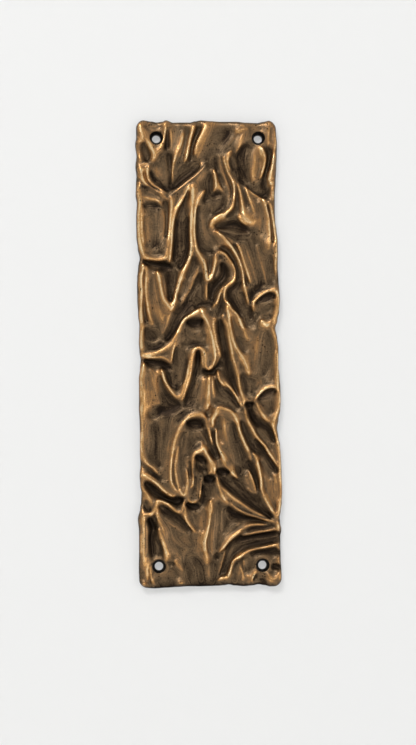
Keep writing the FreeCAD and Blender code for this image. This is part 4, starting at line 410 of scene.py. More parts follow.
    (CREST, [(23.7, -26.2), (25.5, -23.7), (28.5, -20.5), (31, -19), (34, -18.4), (36.3, -19)]),
    (CREST, [(24.7, -26.5), (26, -29.5), (27.7, -32.5), (29.5, -35), (31, -37)]),
    (SOFT, [(23.7, -27.8), (24.8, -31), (26.8, -34.5)]),
    (RIDGE, [(31, -36.6), (33, -36.3)]),
    (MID, [(27.5, -26.3), (31, -28), (33, -31.5)]),
    (DEEP, [(26.3, -24.9), (28.9, -22.2), (32, -20.5), (35.2, -20.8)]),
    (PIT, [(19.6, -27.4), (21.5, -27.9), (22.9, -27.4)]),
    (DEEP, [(21.5, -30.5), (24.3, -36), (28.5, -39.5), (31, -41)]),
    (LOW, [(17.6, -12), (19.3, -17), (20, -22)]),
    (MID, [(22.5, -14), (22.5, -19), (23.5, -22.5)]),
    (SOFT, [(19.7, -25.4), (22.4, -25.6)]),
    (SOFT, [(16.2, -4.5), (17.2, -9)]),
    (MID, [(27, -16.5), (24, -21)]),
    # the blade and the fan in the lower right
    (RIDGE, [(3.5, -66.5), (4, -69.5), (5, -73), (6.5, -76.5), (8, -79), (9.7, -80.6)]),
    (RIDGE, [(5.5, -71.8), (9, -75), (12.5, -78), (16, -80.3), (19, -82.5), (23, -85), (27, -87),
             (30, -88.5)]),
    (SOFT, [(9, -78), (13, -81), (17, -83.4), (22, -86)]),
    (RIDGE, [(10, -79.7), (12.5, -82), (16, -84.5), (20, -86.5), (25, -88), (30, -89.5), (34, -90.5)]),
    (PIT, [(9.5, -83), (12, -86), (16, -87.6), (20, -88.7), (25, -89.8), (30, -91)]),
    (DEEP, [(11.5, -67.3), (15.5, -71.2), (20, -75.8), (25.5, -80.5)]),
    (DEEP, [(6, -67.3), (10, -71.3), (15, -75.5), (21, -80.3), (27, -84.5), (32, -88)]),
    (CREST, [(0.2, -79), (0, -84), (-0.3, -89), (-1, -93), (-2, -97), (-3, -101), (-3, -105), (-2.5, -109),
             (-2, -112.5)]),
    (SOFT, [(-2, -112.5), (-1.6, -117), (-1, -119.5)]),
    (SOFT, [(2, -88), (1, -93), (0.6, -98), (0.5, -103), (0.7, -108)]),
    (MID, [(0.9, -86), (-0.2, -94), (-1, -100), (-0.8, -106)]),
    (SOFT, [(-5.5, -96), (-5, -103), (-4.5, -108)]),
    (MID, [(4.5, -80), (5, -88), (4, -97), (3, -105)]),
    (LOW, [(7.5, -84), (8, -90), (7, -96)]),
    (DEEP, [(3.2, -107.5), (3.3, -110)]),
    (LOW, [(-8.5, -110), (-6, -115), (-5, -121)]),
    (LOW, [(2, -112), (2.6, -117), (1.5, -121.5)]),
    (CREST, [(4.5, -106), (7, -103.5), (9, -101), (11.5, -98.5), (14, -96.5), (17, -94)]),
    (RIDGE, [(17, -94), (21, -92.3), (25, -91.9), (30, -92)]),
    (SOFT, [(8, -98), (12, -94), (16, -91)]),
    (RIDGE, [(17, -97.5), (20, -97), (25, -96), (30, -95.3), (34.5, -94.5)]),
    (CREST, [(35.5, -91), (36, -93.5), (35.5, -95.5)]),
    (LOW, [(19.5, -95.2), (23, -94.1), (28, -93.6), (33, -92.8)]),
    (PIT, [(12, -101), (16, -99.7), (20, -99), (26, -98), (31, -97.3), (36, -97)]),
    (DEEP, [(12, -101), (9.5, -104.5), (8, -109), (6.5, -114.5), (4.5, -119)]),
    (DEEP, [(35.5, -99.5), (27, -100.8), (20, -102.3), (15, -104.3), (11.5, -108), (9.2, -113.5),
            (7.4, -117.8)]),
    (CREST, [(36, -102.5), (32, -103.3), (28, -104.2), (23.5, -105), (20, -106), (17.5, -107.5),
             (15.5, -109), (13, -110), (11.5, -111.5), (10.5, -115), (9.5, -118), (8.3, -120)]),
    (CREST, [(3.5, -121.3), (5.5, -120), (8.3, -120)]),
    (SOFT, [(8, -105.3), (6.2, -110.5), (5.2, -114), (3.6, -119)]),
    (LOW, [(17.2, -109.4), (16.4, -112), (16.9, -116), (17.8, -119)]),
    (RIDGE, [(15.6, -113), (16.1, -115.5), (17.3, -119), (16.5, -121)]),
    (MID, [(13.5, -112.5), (12.8, -117), (12.5, -121)]),
    (SOFT, [(14.8, -117), (15, -121)]),
    (RIDGE, [(17.3, -111), (17.5, -114)]),
    (MID, [(19.5, -109.5), (20, -113), (20.3, -117)]),
    (RIDGE, [(18.5, -118.7), (20.7, -119.8)]),
    (CREST, [(24, -116.8), (22.6, -119), (21.5, -121.7)]),
    (DEEP, [(24, -118.6), (22.8, -120.9)]),
    (DEEP, [(21.5, -107.6), (25, -106.8), (30, -106.2), (34, -106.3), (36.3, -107.4)]),
    (CREST, [(35.6, -103.2), (36.5, -105.4)]),
    (MID, [(23.5, -111), (25, -109.3), (31, -109.3)]),
    (RIDGE, [(36, -109.5), (36.3, -113)]),
    (MID, [(33, -110.5), (34.3, -112.5)]),
    (PIT, [(31.8, -114.4), (34, -114.3), (36.2, -115)]),
    (MID, [(31.5, -117), (33, -117.5), (34.6, -116.6)]),
    (RIDGE, [(30.4, -118), (31.3, -120), (33, -121), (35, -120), (36, -117.5)]),
    (CREST, [(36.8, -117), (36.5, -121.5)]),
    (RIDGE, [(35, -122.4), (32, -121.9), (29.5, -120.7)]),
    (LOW, [(26, -121), (29, -122.3)]),
    (MID, [(24.8, -120), (27, -119)]),
    # the wave and the slot in the lower left
    (CREST, [(-35.3, -65), (-33, -66.5), (-30.5, -68), (-28, -70), (-25.5, -72.5), (-22.5, -75),
             (-20.5, -76.3), (-18.7, -76.3)]),
    (RIDGE, [(-34, -64.2), (-31, -66.2), (-27.5, -68.9)]),
    (RIDGE, [(-36.3, -66.5), (-36.9, -69), (-36.2, -72), (-34.5, -74.5), (-33, -77), (-31.3, -79.5),
             (-31, -81.5)]),
    (PIT, [(-34.2, -69.5), (-31, -72.5), (-27, -76), (-22, -78.6), (-17.2, -79.2), (-15.2, -78)]),
    (LOW, [(-34.3, -79), (-34, -82.5), (-32, -84)]),
    (CREST, [(-35.7, -86), (-33, -85.7), (-31.5, -86), (-30, -83.5), (-29, -81), (-28.2, -79),
             (-27.3, -78.7), (-25, -79.3), (-22, -81), (-20, -83), (-18, -84.5), (-16.3, -85), (-15, -84),
             (-14.3, -81.5), (-13.8, -79)]),
    (RIDGE, [(-36.8, -82), (-36.2, -84.5), (-35.7, -86)]),
    (CREST, [(-35.6, -86), (-35.5, -89), (-35.5, -94), (-35.5, -100), (-35.6, -106), (-35.4, -111),
             (-35.1, -113.4)]),
    (RIDGE, [(-34.2, -90), (-34, -95), (-33.9, -101), (-34.3, -107), (-34.5, -112)]),
    (SOFT, [(-37.4, -92), (-37.2, -100), (-37.2, -108), (-37.2, -116)]),
    (PIT, [(-32.3, -88.3), (-31, -90.5), (-30.2, -94)]),
    (DEEP, [(-30.2, -94), (-31.2, -99), (-30.3, -104), (-30.8, -108)]),
    (LOW, [(-28.3, -100), (-27.2, -105), (-27.5, -109)]),
    (CREST, [(-27.6, -93.5), (-26.2, -98), (-25, -102), (-24, -106), (-23.2, -110.3)]),
    (RIDGE, [(-28.2, -83), (-28.3, -86), (-27.8, -88.5), (-26.5, -91), (-25.3, -94), (-24.3, -97)]),
    (LOW, [(-29.6, -86.5), (-29, -90)]),
    (DEEP, [(-26.7, -82), (-22.2, -85), (-17, -88.6), (-13.8, -91.5), (-10.5, -95)]),
    (SOFT, [(-24, -88.5), (-20, -92), (-14, -96)]),
    (SOFT, [(-21.5, -97), (-18, -101), (-13, -105)]),
    (MID, [(-18, -94.5), (-14.5, -100), (-9.5, -103)]),
    (CREST, [(-13.2, -82), (-13.8, -85.5), (-13.2, -88.5), (-12, -91), (-10.3, -93.2), (-8.3, -95.3)]),
    (MID, [(-9, -84.5), (-7.5, -90), (-6.5, -94.5)]),
    (MID, [(-3, -84), (-3.5, -90), (-4, -95)]),
    # bottom left corner
    (CREST, [(-33.8, -113.8), (-33.6, -117), (-33.5, -120.5)]),
    (RIDGE, [(-32.1, -113.5), (-32, -117.5), (-31.2, -121), (-30, -123)]),
    (LOW, [(-32.9, -115), (-32.7, -119.5), (-32.2, -122.5)]),
    (CREST, [(-36, -123.2), (-34.8, -122.5)]),
    (MID, [(-36.3, -116), (-36.2, -120)]),
    (MID, [(-29.5, -120.5), (-25, -121.5), (-21, -120)]),
    (SOFT, [(-22.5, -110), (-19.5, -109.4)]),
    (LOW, [(-22, -112.5), (-20, -112.3)]),
    (RIDGE, [(-19, -110.5), (-17, -113.5), (-15, -116)]),
    (MID, [(-21, -115.5), (-18.5, -118)]),
    (RIDGE, [(-17.5, -122.3), (-14.5, -122.4)]),
    (MID, [(-13, -111), (-10.5, -116), (-11, -121)]),
]

# Waves of the outline: place along the edge, then how far the edge stands out past a straight one.
LEFT = [(-126, -0.5), (-122, 0), (-115, 0.2), (-105, 0), (-95, 0), (-89, 0.6), (-83, -0.7), (-80, -1.2),
        (-75, -1.4), (-71, -0.8), (-66, -0.5), (-60, -1), (-55, -0.7), (-45, -0.8), (-38, -0.7),
        (-30, -0.3), (-24, -0.4), (-14, -0.4), (-9, -1), (-4, -1.4), (0, -0.8), (5, -0.5), (14.5, -0.8),
        (20, -0.2), (28, 0.2), (36, 0.3), (40, 0.2), (45, -0.3), (50.5, -1.2), (56, -0.2), (62, 0.5),
        (72, 0.6), (80, 0.2), (85, 0.8), (90, 0.6), (95, 0.3), (100, 0.8), (106, 0.2), (112, 0.9),
        (116, 0.3), (120, 0.4), (126, 0)]
RIGHT = [(-126, -0.7), (-120, -0.3), (-110, -0.7), (-104, -0.8), (-99, -0.8), (-95, -0.2), (-91, -0.8),
         (-88.5, -1), (-85, -0.4), (-81, 0.2), (-75, 0.5), (-64, 0.3), (-56, 0), (-50, -0.4), (-46, -1.2),
         (-41, -1.8), (-36, -1), (-31, 0), (-26, 0.3), (-20, 0.2), (-14, -0.2), (-8, -0.7), (2, -0.6),
         (7, -1.2), (12.5, -2.2), (17, -1), (22, 0), (28, 0.4), (33, 0.2), (38, -0.2), (46, -0.5),
         (54, -0.3), (60, -0.4), (66, -1), (70, -1.6), (76, -1.8), (84, -1.7), (92, -1.2), (100, -0.7),
         (106, -0.4), (113, -0.2), (118, -0.6), (126, -1)]
TOP = [(-40, 0.2), (-35, 0.6), (-30, -0.1), (-27, -0.6), (-24, -0.2), (-22, 0.6), (-18, -0.7), (-14, -0.6),
       (-9, -0.6), (-6, 0.1), (-3, 0.6), (2, 0.2), (8, -0.1), (16, -0.1), (22, -0.6), (28, -0.8),
       (31, -0.2), (34.5, 0.5), (40, -0.2)]
BOTTOM = [(-40, -0.4), (-35, -0.1), (-30, 0.2), (-24, -0.1), (-18, -0.4), (-12, -0.7), (-6, -0.6),
          (0, -0.7), (4, -0.8), (7, -1), (9.8, -1.4), (13, -0.8), (18, -0.4), (22, -0.7), (26, -1.3),
          (29, -0.8), (32, -0.1), (36, -0.1), (40, -0.5)]


class PaintedLightAndPatina(Enum):
    """How much lighter or darker a place is painted than the height alone makes it: patination, painted
    highlights and painted shade.
    """

    # GLEAM is a painted highlight, BRIGHT and LIGHT are lighter patination with painted highlight, DULL and
    # DARK darker patination with painted shade, and the strongest darkening is painted shade at the feet of
    # the folds.
    GLEAM = 0.34
    BRIGHT = 0.20
    LIGHT = 0.11
    DULL = -0.11
    DARK = -0.20
    COVERED = -0.34


GLEAM, BRIGHT, LIGHT, DULL, DARK, COVERED = PaintedLightAndPatina

# Lighter and darker patches, listed one by one, partly patination and partly painted highlights and painted
# shade: tone shift, half width, then points (x, z) along each.
PATINA_AND_PAINTED_LIGHT = [
    # top: around the upper holes, the fork and the left panel
    (BRIGHT, 4, [(3, 124), (-1, 120), (-4, 115), (-8, 109)]),
    (LIGHT, 2.5, [(-20, 119), (-20, 115)]),
    (LIGHT, 2.5, [(-32, 110), (-33, 106)]),
    (BRIGHT, 2.5, [(-34.5, 96.5), (-33.5, 93.5)]),
    (BRIGHT, 3.5, [(29, 108), (27, 102), (25, 95)]),
    (BRIGHT, 2.2, [(33, 93.5), (33.5, 90.5)]),
    (BRIGHT, 1.8, [(5.5, 93), (6, 89)]),
    (LIGHT, 1.8, [(8, 100), (11, 95), (13.5, 90), (15, 84), (15, 78)]),
    (BRIGHT, 2.5, [(-10, 86), (-10, 81)]),
    (BRIGHT, 3.2, [(18.5, 75), (21.5, 72.5), (25, 71)]),
    (BRIGHT, 2.2, [(9, 73), (5, 68.5), (2.5, 65)]),
    (LIGHT, 3.5, [(-22, 77), (-22, 70), (-21, 65)]),
    (BRIGHT, 2, [(-33, 73), (-33, 60)]),
    (BRIGHT, 2, [(9, 57), (13, 53), (17, 48), (20, 43)]),
    (LIGHT, 3, [(34, 72), (34, 67)]),
    (LIGHT, 2.5, [(-11, 48), (-13, 42)]),
    (LIGHT, 2.5, [(-34, 50), (-34, 45)]),
    (DARK, 2.8, [(-27.5, 116), (-25, 110)]),
    (DARK, 2.2, [(-33, 102), (-31, 100.5)]),
    (DARK, 2.4, [(-1, 100), (-6, 96), (-11, 91.5), (-17, 87.5), (-23, 87), (-28, 88)]),
    (DULL, 3, [(-35, 89), (-33, 85)]),
    (DARK, 2.8, [(11, 118), (10, 112), (9, 106)]),
    (DARK, 2, [(-14.5, 122), (-14, 118)]),
    (DULL, 2, [(15, 122), (17, 122)]),
    (DULL, 2, [(30.5, 122), (31.5, 121)]),
    (DULL, 2, [(-3, 87), (-4, 80)]),
    (DULL, 2, [(11.5, 80), (11, 77)]),
    (DARK, 3.5, [(-27, 58), (-25, 54)]),
    (DULL, 3.5, [(-22, 46), (-18, 46)]),
    (DARK, 2.2, [(3, 53.5), (8, 51)]),
    (DULL, 3, [(15, 58), (17, 63), (24, 65)]),
    (DULL, 2.8, [(31, 62), (34, 55)]),
    (DULL, 2, [(1, 73), (3, 72.5)]),
    (DULL, 1.5, [(-14, 70), (-14.5, 60)]),
    # middle: the left edge, the arches and the right pockets
    (BRIGHT, 3.5, [(-34.5, 40), (-34, 30), (-30, 24), (-24, 19)]),
    (LIGHT, 2.5, [(-27, 41), (-26, 30)]),
    (BRIGHT, 2.5, [(-14, 39), (-16, 33)]),
    (BRIGHT, 2.5, [(-35, 13), (-34.5, 9)]),
    (BRIGHT, 3.5, [(-28, -10), (-27, -18)]),
    (BRIGHT, 4.5, [(-33, -23), (-32, -33)]),
    (LIGHT, 2, [(-37, -2), (-37, -9)]),
    (BRIGHT, 1.8, [(12.5, 19), (15, 9)]),
    (LIGHT, 2, [(19.5, 18), (21, 12)]),
    (LIGHT, 2.2, [(28.5, 15), (30, 12)]),
    (BRIGHT, 2.6, [(-1, -30.5), (3, -34), (7, -40)]),
    (LIGHT, 2, [(-2.5, -17), (-2, -23)]),
    (LIGHT, 2.2, [(-10, -14), (-11, -19)]),
    (LIGHT, 2.2, [(15, -18), (15.5, -22)]),
    (DARK, 3, [(-17, 9), (-23, 4), (-31, 1)]),
    (DULL, 2.8, [(-14, 16), (-12, 24)]),
    (DARK, 1.8, [(-9, 4), (-2, 3)]),
    (DULL, 1.8, [(0, -3), (-2, -9)]),
    (DULL, 2.6, [(-17, -19), (-17, -23)]),
    (DARK, 3.5, [(-25, -32.5), (-16, -32), (-8, -30)]),
    (DARK, 2.6, [(-16, -36), (-14, -39)]),
    (DARK, 2.6, [(23, 31), (29, 36.5), (34, 35)]),
    (DULL, 2.6, [(30, -15), (32, -17)]),
    (DULL, 2.6, [(29, -24), (33, -24)]),
    (DULL, 2.6, [(18, -31), (25, -30)]),
    (DULL, 2.2, [(22, -35), (24, -40)]),
    (DULL, 2, [(7, -30), (11, -31)]),
    # bottom: the lower arches, the spreading folds and the plain panel
    (LIGHT, 1.8, [(-1, -44), (-1, -51)]),
    (BRIGHT, 2.2, [(6, -42), (6, -49)]),
    (LIGHT, 2.2, [(-20, -52), (-20, -58)]),
    (BRIGHT, 2.6, [(27, -58), (30.5, -68), (33, -79)]),
    (LIGHT, 2.2, [(20, -68), (20.5, -72)]),
    (BRIGHT, 3.2, [(-2, -84), (-4, -91), (-3, -98), (-3, -104)]),
    (LIGHT, 2.5, [(4, -90), (4.5, -95)]),
    (LIGHT, 2.5, [(-36, -60), (-35, -66)]),
    (LIGHT, 1.8, [(-33, -72), (-28, -76)]),
    (LIGHT, 2.2, [(-36, -78), (-36, -84)]),
    (LIGHT, 1.8, [(-37, -97), (-37, -106)]),
    (BRIGHT, 2.5, [(-33.5, -115), (-33, -120)]),
    (LIGHT, 2, [(12, -100), (16, -97)]),
    (LIGHT, 2.6, [(10, -106), (10, -118)]),
    (LIGHT, 2.2, [(15, -117), (18, -111)]),
    (LIGHT, 2.2, [(35, -110), (35, -114)]),
    (DARK, 2.6, [(-8, -50), (-6, -52)]),
    (DARK, 2.8, [(-6, -67), (1, -70)]),
    (DULL, 2, [(17, -62), (17, -66)]),
    (DULL, 2, [(21, -54), (23, -56)]),
    (DARK, 2.6, [(-18, -82), (-14, -84)]),
    (DULL, 2, [(-8, -83), (-5, -83)]),
    (DULL, 2.6, [(-28, -66), (-24, -71)]),
    (DARK, 1.8, [(-33.5, -91), (-33, -106)]),
    (DULL, 1.5, [(-28, -93), (-24, -101)]),
    (DARK, 2.6, [(12, -93), (14, -94)]),
    (DULL, 2.6, [(21, -94), (30, -95)]),
    (DULL, 2.2, [(16, -81), (25, -86)]),
    (DULL, 2.4, [(26, -110), (29, -112)]),
    (DULL, 2.4, [(-17, -112), (-15, -114)]),
    (DARK, 2.2, [(-30, -124), (-15, -124), (0, -124), (8, -123), (20, -124), (35, -122.5)]),
    # fine lines of the upper part
    (DARK, 1.2, [(-35, 101.5), (-32, 101), (-30.5, 96), (-28, 92.5)]),
    (DARK, 1.2, [(-4, 87), (-4, 80)]),
    (DULL, 1.2, [(-13, 85), (-17, 79)]),
    (DARK, 1.2, [(4, 56), (6, 54), (10, 51), (13, 48)]),
    (DULL, 1, [(7, 65), (12, 62), (15, 58), (17, 54)]),
    (DARK, 1.3, [(5, 108), (11, 107.5)]),
    (DULL, 0.9, [(10.5, 103), (12, 97), (14, 93.5)]),
    (DULL, 1, [(13, 82), (12, 78), (8, 74)]),
    (DULL, 1.2, [(32, 82), (34.5, 80)]),
    (DULL, 1, [(-7, 61), (-7, 54), (-3, 51), (2, 52)]),
    (DULL, 1.2, [(-22, 65), (-22, 58), (-26, 56)]),
    (DARK, 1.4, [(-29, 78.5), (-25.5, 78)]),
    (DULL, 1.2, [(-35, 84), (-28, 85)]),
    (GLEAM, 2.2, [(18, 74.5), (19.5, 72), (23, 69.5), (26, 70.5)]),
    (GLEAM, 1.8, [(9, 72.5), (6, 70.5), (3, 67)]),
    (GLEAM, 1.5, [(33, 94), (33.5, 90.5)]),
    (GLEAM, 1.5, [(-34.5, 96.5), (-32.5, 92)]),
    (BRIGHT, 0.9, [(-12.5, 118), (-14, 110), (-15, 106)]),
    (LIGHT, 1.2, [(-20.5, 103), (-20.5, 95)]),
    (BRIGHT, 0.9, [(-13.5, 82), (-17, 72)]),
    (BRIGHT, 0.9, [(-9, 75), (-9, 60), (-10, 50), (-12, 43)]),
    (BRIGHT, 1, [(15, 87), (15.5, 79)]),
    # fine lines of the middle
    (DARK, 1.3, [(-36, 0.5), (-30, 1), (-25, 3.5), (-20, 6.5), (-18, 11), (-16, 16)]),
    (DARK, 1.2, [(-28, -2), (-23, -4)]),
    (DULL, 1, [(-9.5, 0), (-10, -7)]),
    (DARK, 1.3, [(23, 29), (27, 33), (32, 34.5)]),
    (DARK, 1.6, [(29, 28.5), (33, 28)]),
    (DARK, 1.2, [(4, -12), (8, -16)]),
    (DARK, 1.6, [(-16, -38), (-12, -34), (-8, -31.5), (-5, -31)]),
    (DARK, 1.2, [(3, -29), (8, -30)]),
    (DARK, 1.6, [(-18, -20), (-16.5, -22)]),
    (DARK, 1.5, [(30, -17), (34, -17)]),
    (DARK, 1.2, [(24, -23), (25, -28), (28, -32), (32, -33.5)]),
    (DARK, 1.2, [(18, -30), (20, -35), (23, -39)]),
    (DARK, 1.2, [(9, 21), (8, 18)]),
    (DULL, 0.9, [(12, 22), (16, 18)]),
    (DULL, 0.9, [(5, 12), (5, 0)]),
    (DULL, 0.9, [(3, 26), (6, 33), (12, 38)]),
    (DULL, 1.5, [(-34, 17), (-34, 14)]),
    (GLEAM, 1.2, [(-36, 42), (-35.5, 30), (-35.5, 17)]),
    (GLEAM, 1.2, [(-37.5, -6), (-37, -14), (-36.5, -22), (-36, -33)]),
    (GLEAM, 2.2, [(-27.5, -10), (-27, -20)]),
    (GLEAM, 1.8, [(0, -29.5), (1, -33), (2.5, -36)]),
    (BRIGHT, 1.2, [(-3, -14), (-2.5, -24)]),
    (BRIGHT, 0.9, [(-16, 11), (-13, 17), (-8, 20.5), (-5, 22)]),
    (BRIGHT, 1.2, [(-4, 23.5), (-2, 23.5)]),
    (BRIGHT, 1, [(-1, 12), (-1, 5)]),
    (BRIGHT, 1, [(16.5, -2.5), (18, -6.5)]),
    (LIGHT, 1, [(5, -2), (3, -9), (0, -13)]),
    (BRIGHT, 0.9, [(6.5, -16.5), (9, -19)]),
    (BRIGHT, 1, [(35.5, 17), (35.5, 8)]),
    (LIGHT, 0.9, [(27, -22), (31, -19.5), (34, -19)]),
    # fine lines of the lower part
    (DARK, 1.3, [(-5, -51), (-8, -52.5), (-9.5, -56), (-9, -63)]),
    (DARK, 1.4, [(21.5, -54), (24, -57.5)]),
    (DARK, 1.4, [(2.5, -71), (4, -75)]),
    (DARK, 1.2, [(26, -75), (29, -81), (33, -88)]),
    (DARK, 1.2, [(-19, -83), (-15.5, -82), (-14.5, -77)]),
    (DARK, 1.2, [(-36, -82), (-33, -84.5), (-30, -82), (-29.5, -79)]),
    (DARK, 1.1, [(-10, -78.5), (-7, -78.5)]),
    (DULL, 1, [(10, -80), (18, -84), (26, -87.5), (32, -88.5)]),
    (DULL, 0.9, [(16, -97.5), (30, -95)]),
    (DULL, 0.9, [(10, -118), (12, -110), (16, -104), (25, -101)]),
    (DARK, 0.9, [(18, -107), (26, -103.5), (33, -102)]),
    (DULL, 1, [(-26, -96), (-23, -103), (-19, -110)]),
    (DULL, 1.2, [(-33, -55), (-31, -60)]),
    (DULL, 0.9, [(-13, -85), (-10, -90)]),
    (DULL, 0.9, [(-18, -45), (-19, -51)]),
    (GLEAM, 1.2, [(5, -42), (5.5, -48)]),
    (GLEAM, 1.8, [(-4, -101), (-3, -105)]),
    (BRIGHT, 0.9, [(-25, -101), (-22, -109)]),
    (BRIGHT, 1.2, [(-12, -58), (-12, -61)]),
    (BRIGHT, 1.2, [(-28, -80), (-26, -83)]),
    (GLEAM, 1.2, [(-37, -61), (-36, -66)]),
    (BRIGHT, 0.9, [(34.5, -66), (35, -74)]),
    (LIGHT, 1.2, [(35.5, -93), (35.5, -98)]),
    (GLEAM, 1, [(-37, -97), (-37, -106)]),
    (LIGHT, 0.8, [(8, -122), (20, -122.3), (32, -122)]),
    # painted shade at the feet of the folds, and bright spots of the top: rubbed metal with painted
    # highlights
    (COVERED, 1.5, [(-19.4, 85), (-13.5, 89.4), (-6.2, 95.2), (-3.2, 98), (-1, 101)]),
    (LIGHT, 2.2, [(-7, 92), (-2, 96)]),
    (COVERED, 1.2, [(-36, 89), (-30, 88.5), (-25, 86.5), (-22, 83.5)]),
    (DARK, 1, [(-35, 102), (-32, 101), (-31.5, 95), (-30, 92)]),
    (DARK, 1.6, [(-29, 77), (-26, 77)]),
    (DARK, 1.4, [(-4, 87), (-4, 80)]),
    (DARK, 1.6, [(9, 110), (11, 107)]),
    (DARK, 0.9, [(11, 103), (14, 98)]),
    (DARK, 1.4, [(16, 99), (17, 94)]),
    (DARK, 1, [(12.5, 83), (11, 77)]),
    (DARK, 1.4, [(23, 79), (22.5, 76)]),
    (DARK, 1.2, [(31, 82.5), (34, 80)]),
    (DARK, 1.2, [(33.5, 57.5), (34.5, 53)]),
    (DARK, 1.1, [(-28, 56), (-24, 57.5), (-22.5, 62)]),
    (GLEAM, 1.4, [(-35, 98), (-33.5, 93)]),
    (BRIGHT, 1.6, [(-28, 99), (-27, 95)]),
    (BRIGHT, 1.6, [(-10, 88), (-8.5, 82)]),
    (BRIGHT, 1.3, [(-7, 101), (-3, 102)]),
    (GLEAM, 1.6, [(28.5, 110), (28.5, 100)]),
    (BRIGHT, 1.2, [(15, 118), (18, 119)]),
    (BRIGHT, 1.2, [(13.5, 92), (15, 86), (15, 79)]),
    (GLEAM, 1.3, [(18.5, 77), (18, 72.5), (23, 70)]),
    (GLEAM, 1.1, [(33, 97), (32.5, 89)]),
    (BRIGHT, 1, [(35.5, 94), (35, 88)]),
    (BRIGHT, 1.2, [(34, 66), (34, 60)]),
    (LIGHT, 2, [(5, 56), (10, 57), (15, 55.5)]),
    (BRIGHT, 1.5, [(-34, 47.5), (-27, 45)]),
    # painted shade at the feet of the folds, and bright spots of the middle: rubbed metal with painted
    # highlights
    (COVERED, 1.1, [(22, 26), (23.5, 30), (27, 33), (33, 34)]),
    (DARK, 1.1, [(-33, 1), (-26, 3), (-21, 5), (-18, 10), (-14, 15)]),
    (DARK, 0.9, [(-11.5, 1), (-9, 3), (-5, 3), (-1, 1.5)]),
    (DARK, 1, [(-9.5, -4), (-10, -9)]),
    (DARK, 1, [(0.8, -14), (0.8, -28)]),
    (COVERED, 1.2, [(-17, -37), (-13, -33), (-8, -31)]),
    (DARK, 1.2, [(-4, -35.5), (0, -41)]),
    (DARK, 1.3, [(-17.5, -20), (-16, -22)]),
    (GLEAM, 1.2, [(-37, -1.5), (-32, -2)]),
    (GLEAM, 1.4, [(-4, 23.5), (-2, 23)]),
    (BRIGHT, 1.3, [(11, 20), (13, 15)]),
    (BRIGHT, 1.5, [(18, 17), (20.5, 12.5)]),
    (GLEAM, 1.3, [(28.5, 16), (31, 13.5)]),
    (LIGHT, 2, [(7.5, 12), (8, 2)]),
    (BRIGHT, 1.2, [(-3, -12.5), (2, -12), (4, -9.5)]),
    (BRIGHT, 1.2, [(25, -18), (28, -16)]),
    # painted shade at the feet of the folds, and bright spots of the bottom: rubbed metal with painted
    # highlights
    (COVERED, 1.4, [(-8, -51.5), (-5, -49.5)]),
    (COVERED, 1, [(26.5, -74), (28.5, -79), (31, -83.5), (33.5, -87.5)]),
    (COVERED, 0.9, [(12, -81.5), (19, -85), (26, -88), (32, -89)]),
    (COVERED, 1.3, [(21, -54), (24.5, -58.5)]),
    (COVERED, 1.3, [(9, -59), (10.5, -64)]),
    (COVERED, 1.2, [(-9, -62), (-8.5, -67)]),
    (COVERED, 1.2, [(-5, -68), (-4.5, -73)]),
    (COVERED, 1.2, [(-34.2, -90), (-34.2, -108)]),
    (COVERED, 1.4, [(-18, -83), (-16, -83)]),
    (DARK, 1, [(-31, -66), (-27, -70), (-22, -75)]),
    (DARK, 1, [(14, -111), (11, -117)]),
    (DARK, 1.1, [(18, -107.5), (25, -104.5), (33, -102.5)]),
    (DARK, 1, [(18, -96.5), (24, -96.5), (30, -95)]),
    (DARK, 0.9, [(-31, -112), (-31, -119)]),
    (GLEAM, 1.3, [(-3, -50), (-1, -51.5)]),
    (BRIGHT, 1.4, [(5, -42), (5, -48)]),
    (BRIGHT, 1.4, [(12, -61.5), (13, -65)]),
    (BRIGHT, 1.2, [(13, -109), (16, -106.5)]),
    (BRIGHT, 1.2, [(17, -90.5), (24, -90), (30, -90)]),
    (BRIGHT, 2, [(-5, -101), (-1, -103)]),
    (LIGHT, 2.5, [(-34, -71), (-31, -76)]),
    (BRIGHT, 1.2, [(-33.5, -81), (-33, -83)]),
    (BRIGHT, 1.2, [(-27.5, -81), (-27, -83.5)]),
    (GLEAM, 1, [(-33.5, -112), (-33.5, -120)]),
    (GLEAM, 1, [(-37, -43), (-37, -57)]),
    (GLEAM, 1.2, [(30, -76), (33, -84)]),
]


def smooth(t: Array) -> Array:
    """Eases a share from 0 to 1, with no slope at its ends."""
    t = np.clip(t, 0.0, 1.0)
    return t * t * (3.0 - 2.0 * t)


def stations(length: float, rows: Sequence[float], step: float) -> Array:
    """Places of the grid lines over a length: close together beside both ends, even between them.

    Args:
        length: Length to divide.
        rows: Distances of the first grid lines from an end.
        step: Distance between the grid lines elsewhere.

    Returns:
        The places from 0 to the length.
    """
    edge = np.array(rows)
    count = round((length - 2.0 * edge[-1]) / step)
    middle = np.linspace(edge[-1], length - edge[-1], count + 1)
    return np.concatenate([edge[:-1], middle, length - edge[-2::-1]])


def spread(grid: Array, reach: int) -> Array:
    """Mean of a grid over a square of cells around each point, taken twice for a soft bell.

    Args:
        grid: Values on the grid.
        reach: Half the side of the square, in cells.

    Returns:
        The means, on the same grid.
    """
    wide = 2 * reach + 1
    for axis in (0, 1, 0, 1):
        pad = [(0, 0), (0, 0)]
        pad[axis] = (reach + 1, reach)
        total = np.cumsum(np.pad(grid, pad, mode="edge"), axis=axis)
        upper = np.take(total, range(wide, total.shape[axis]), axis=axis)
        lower = np.take(total, range(0, total.shape[axis] - wide), axis=axis)
        grid = (upper - lower) / wide
    return grid


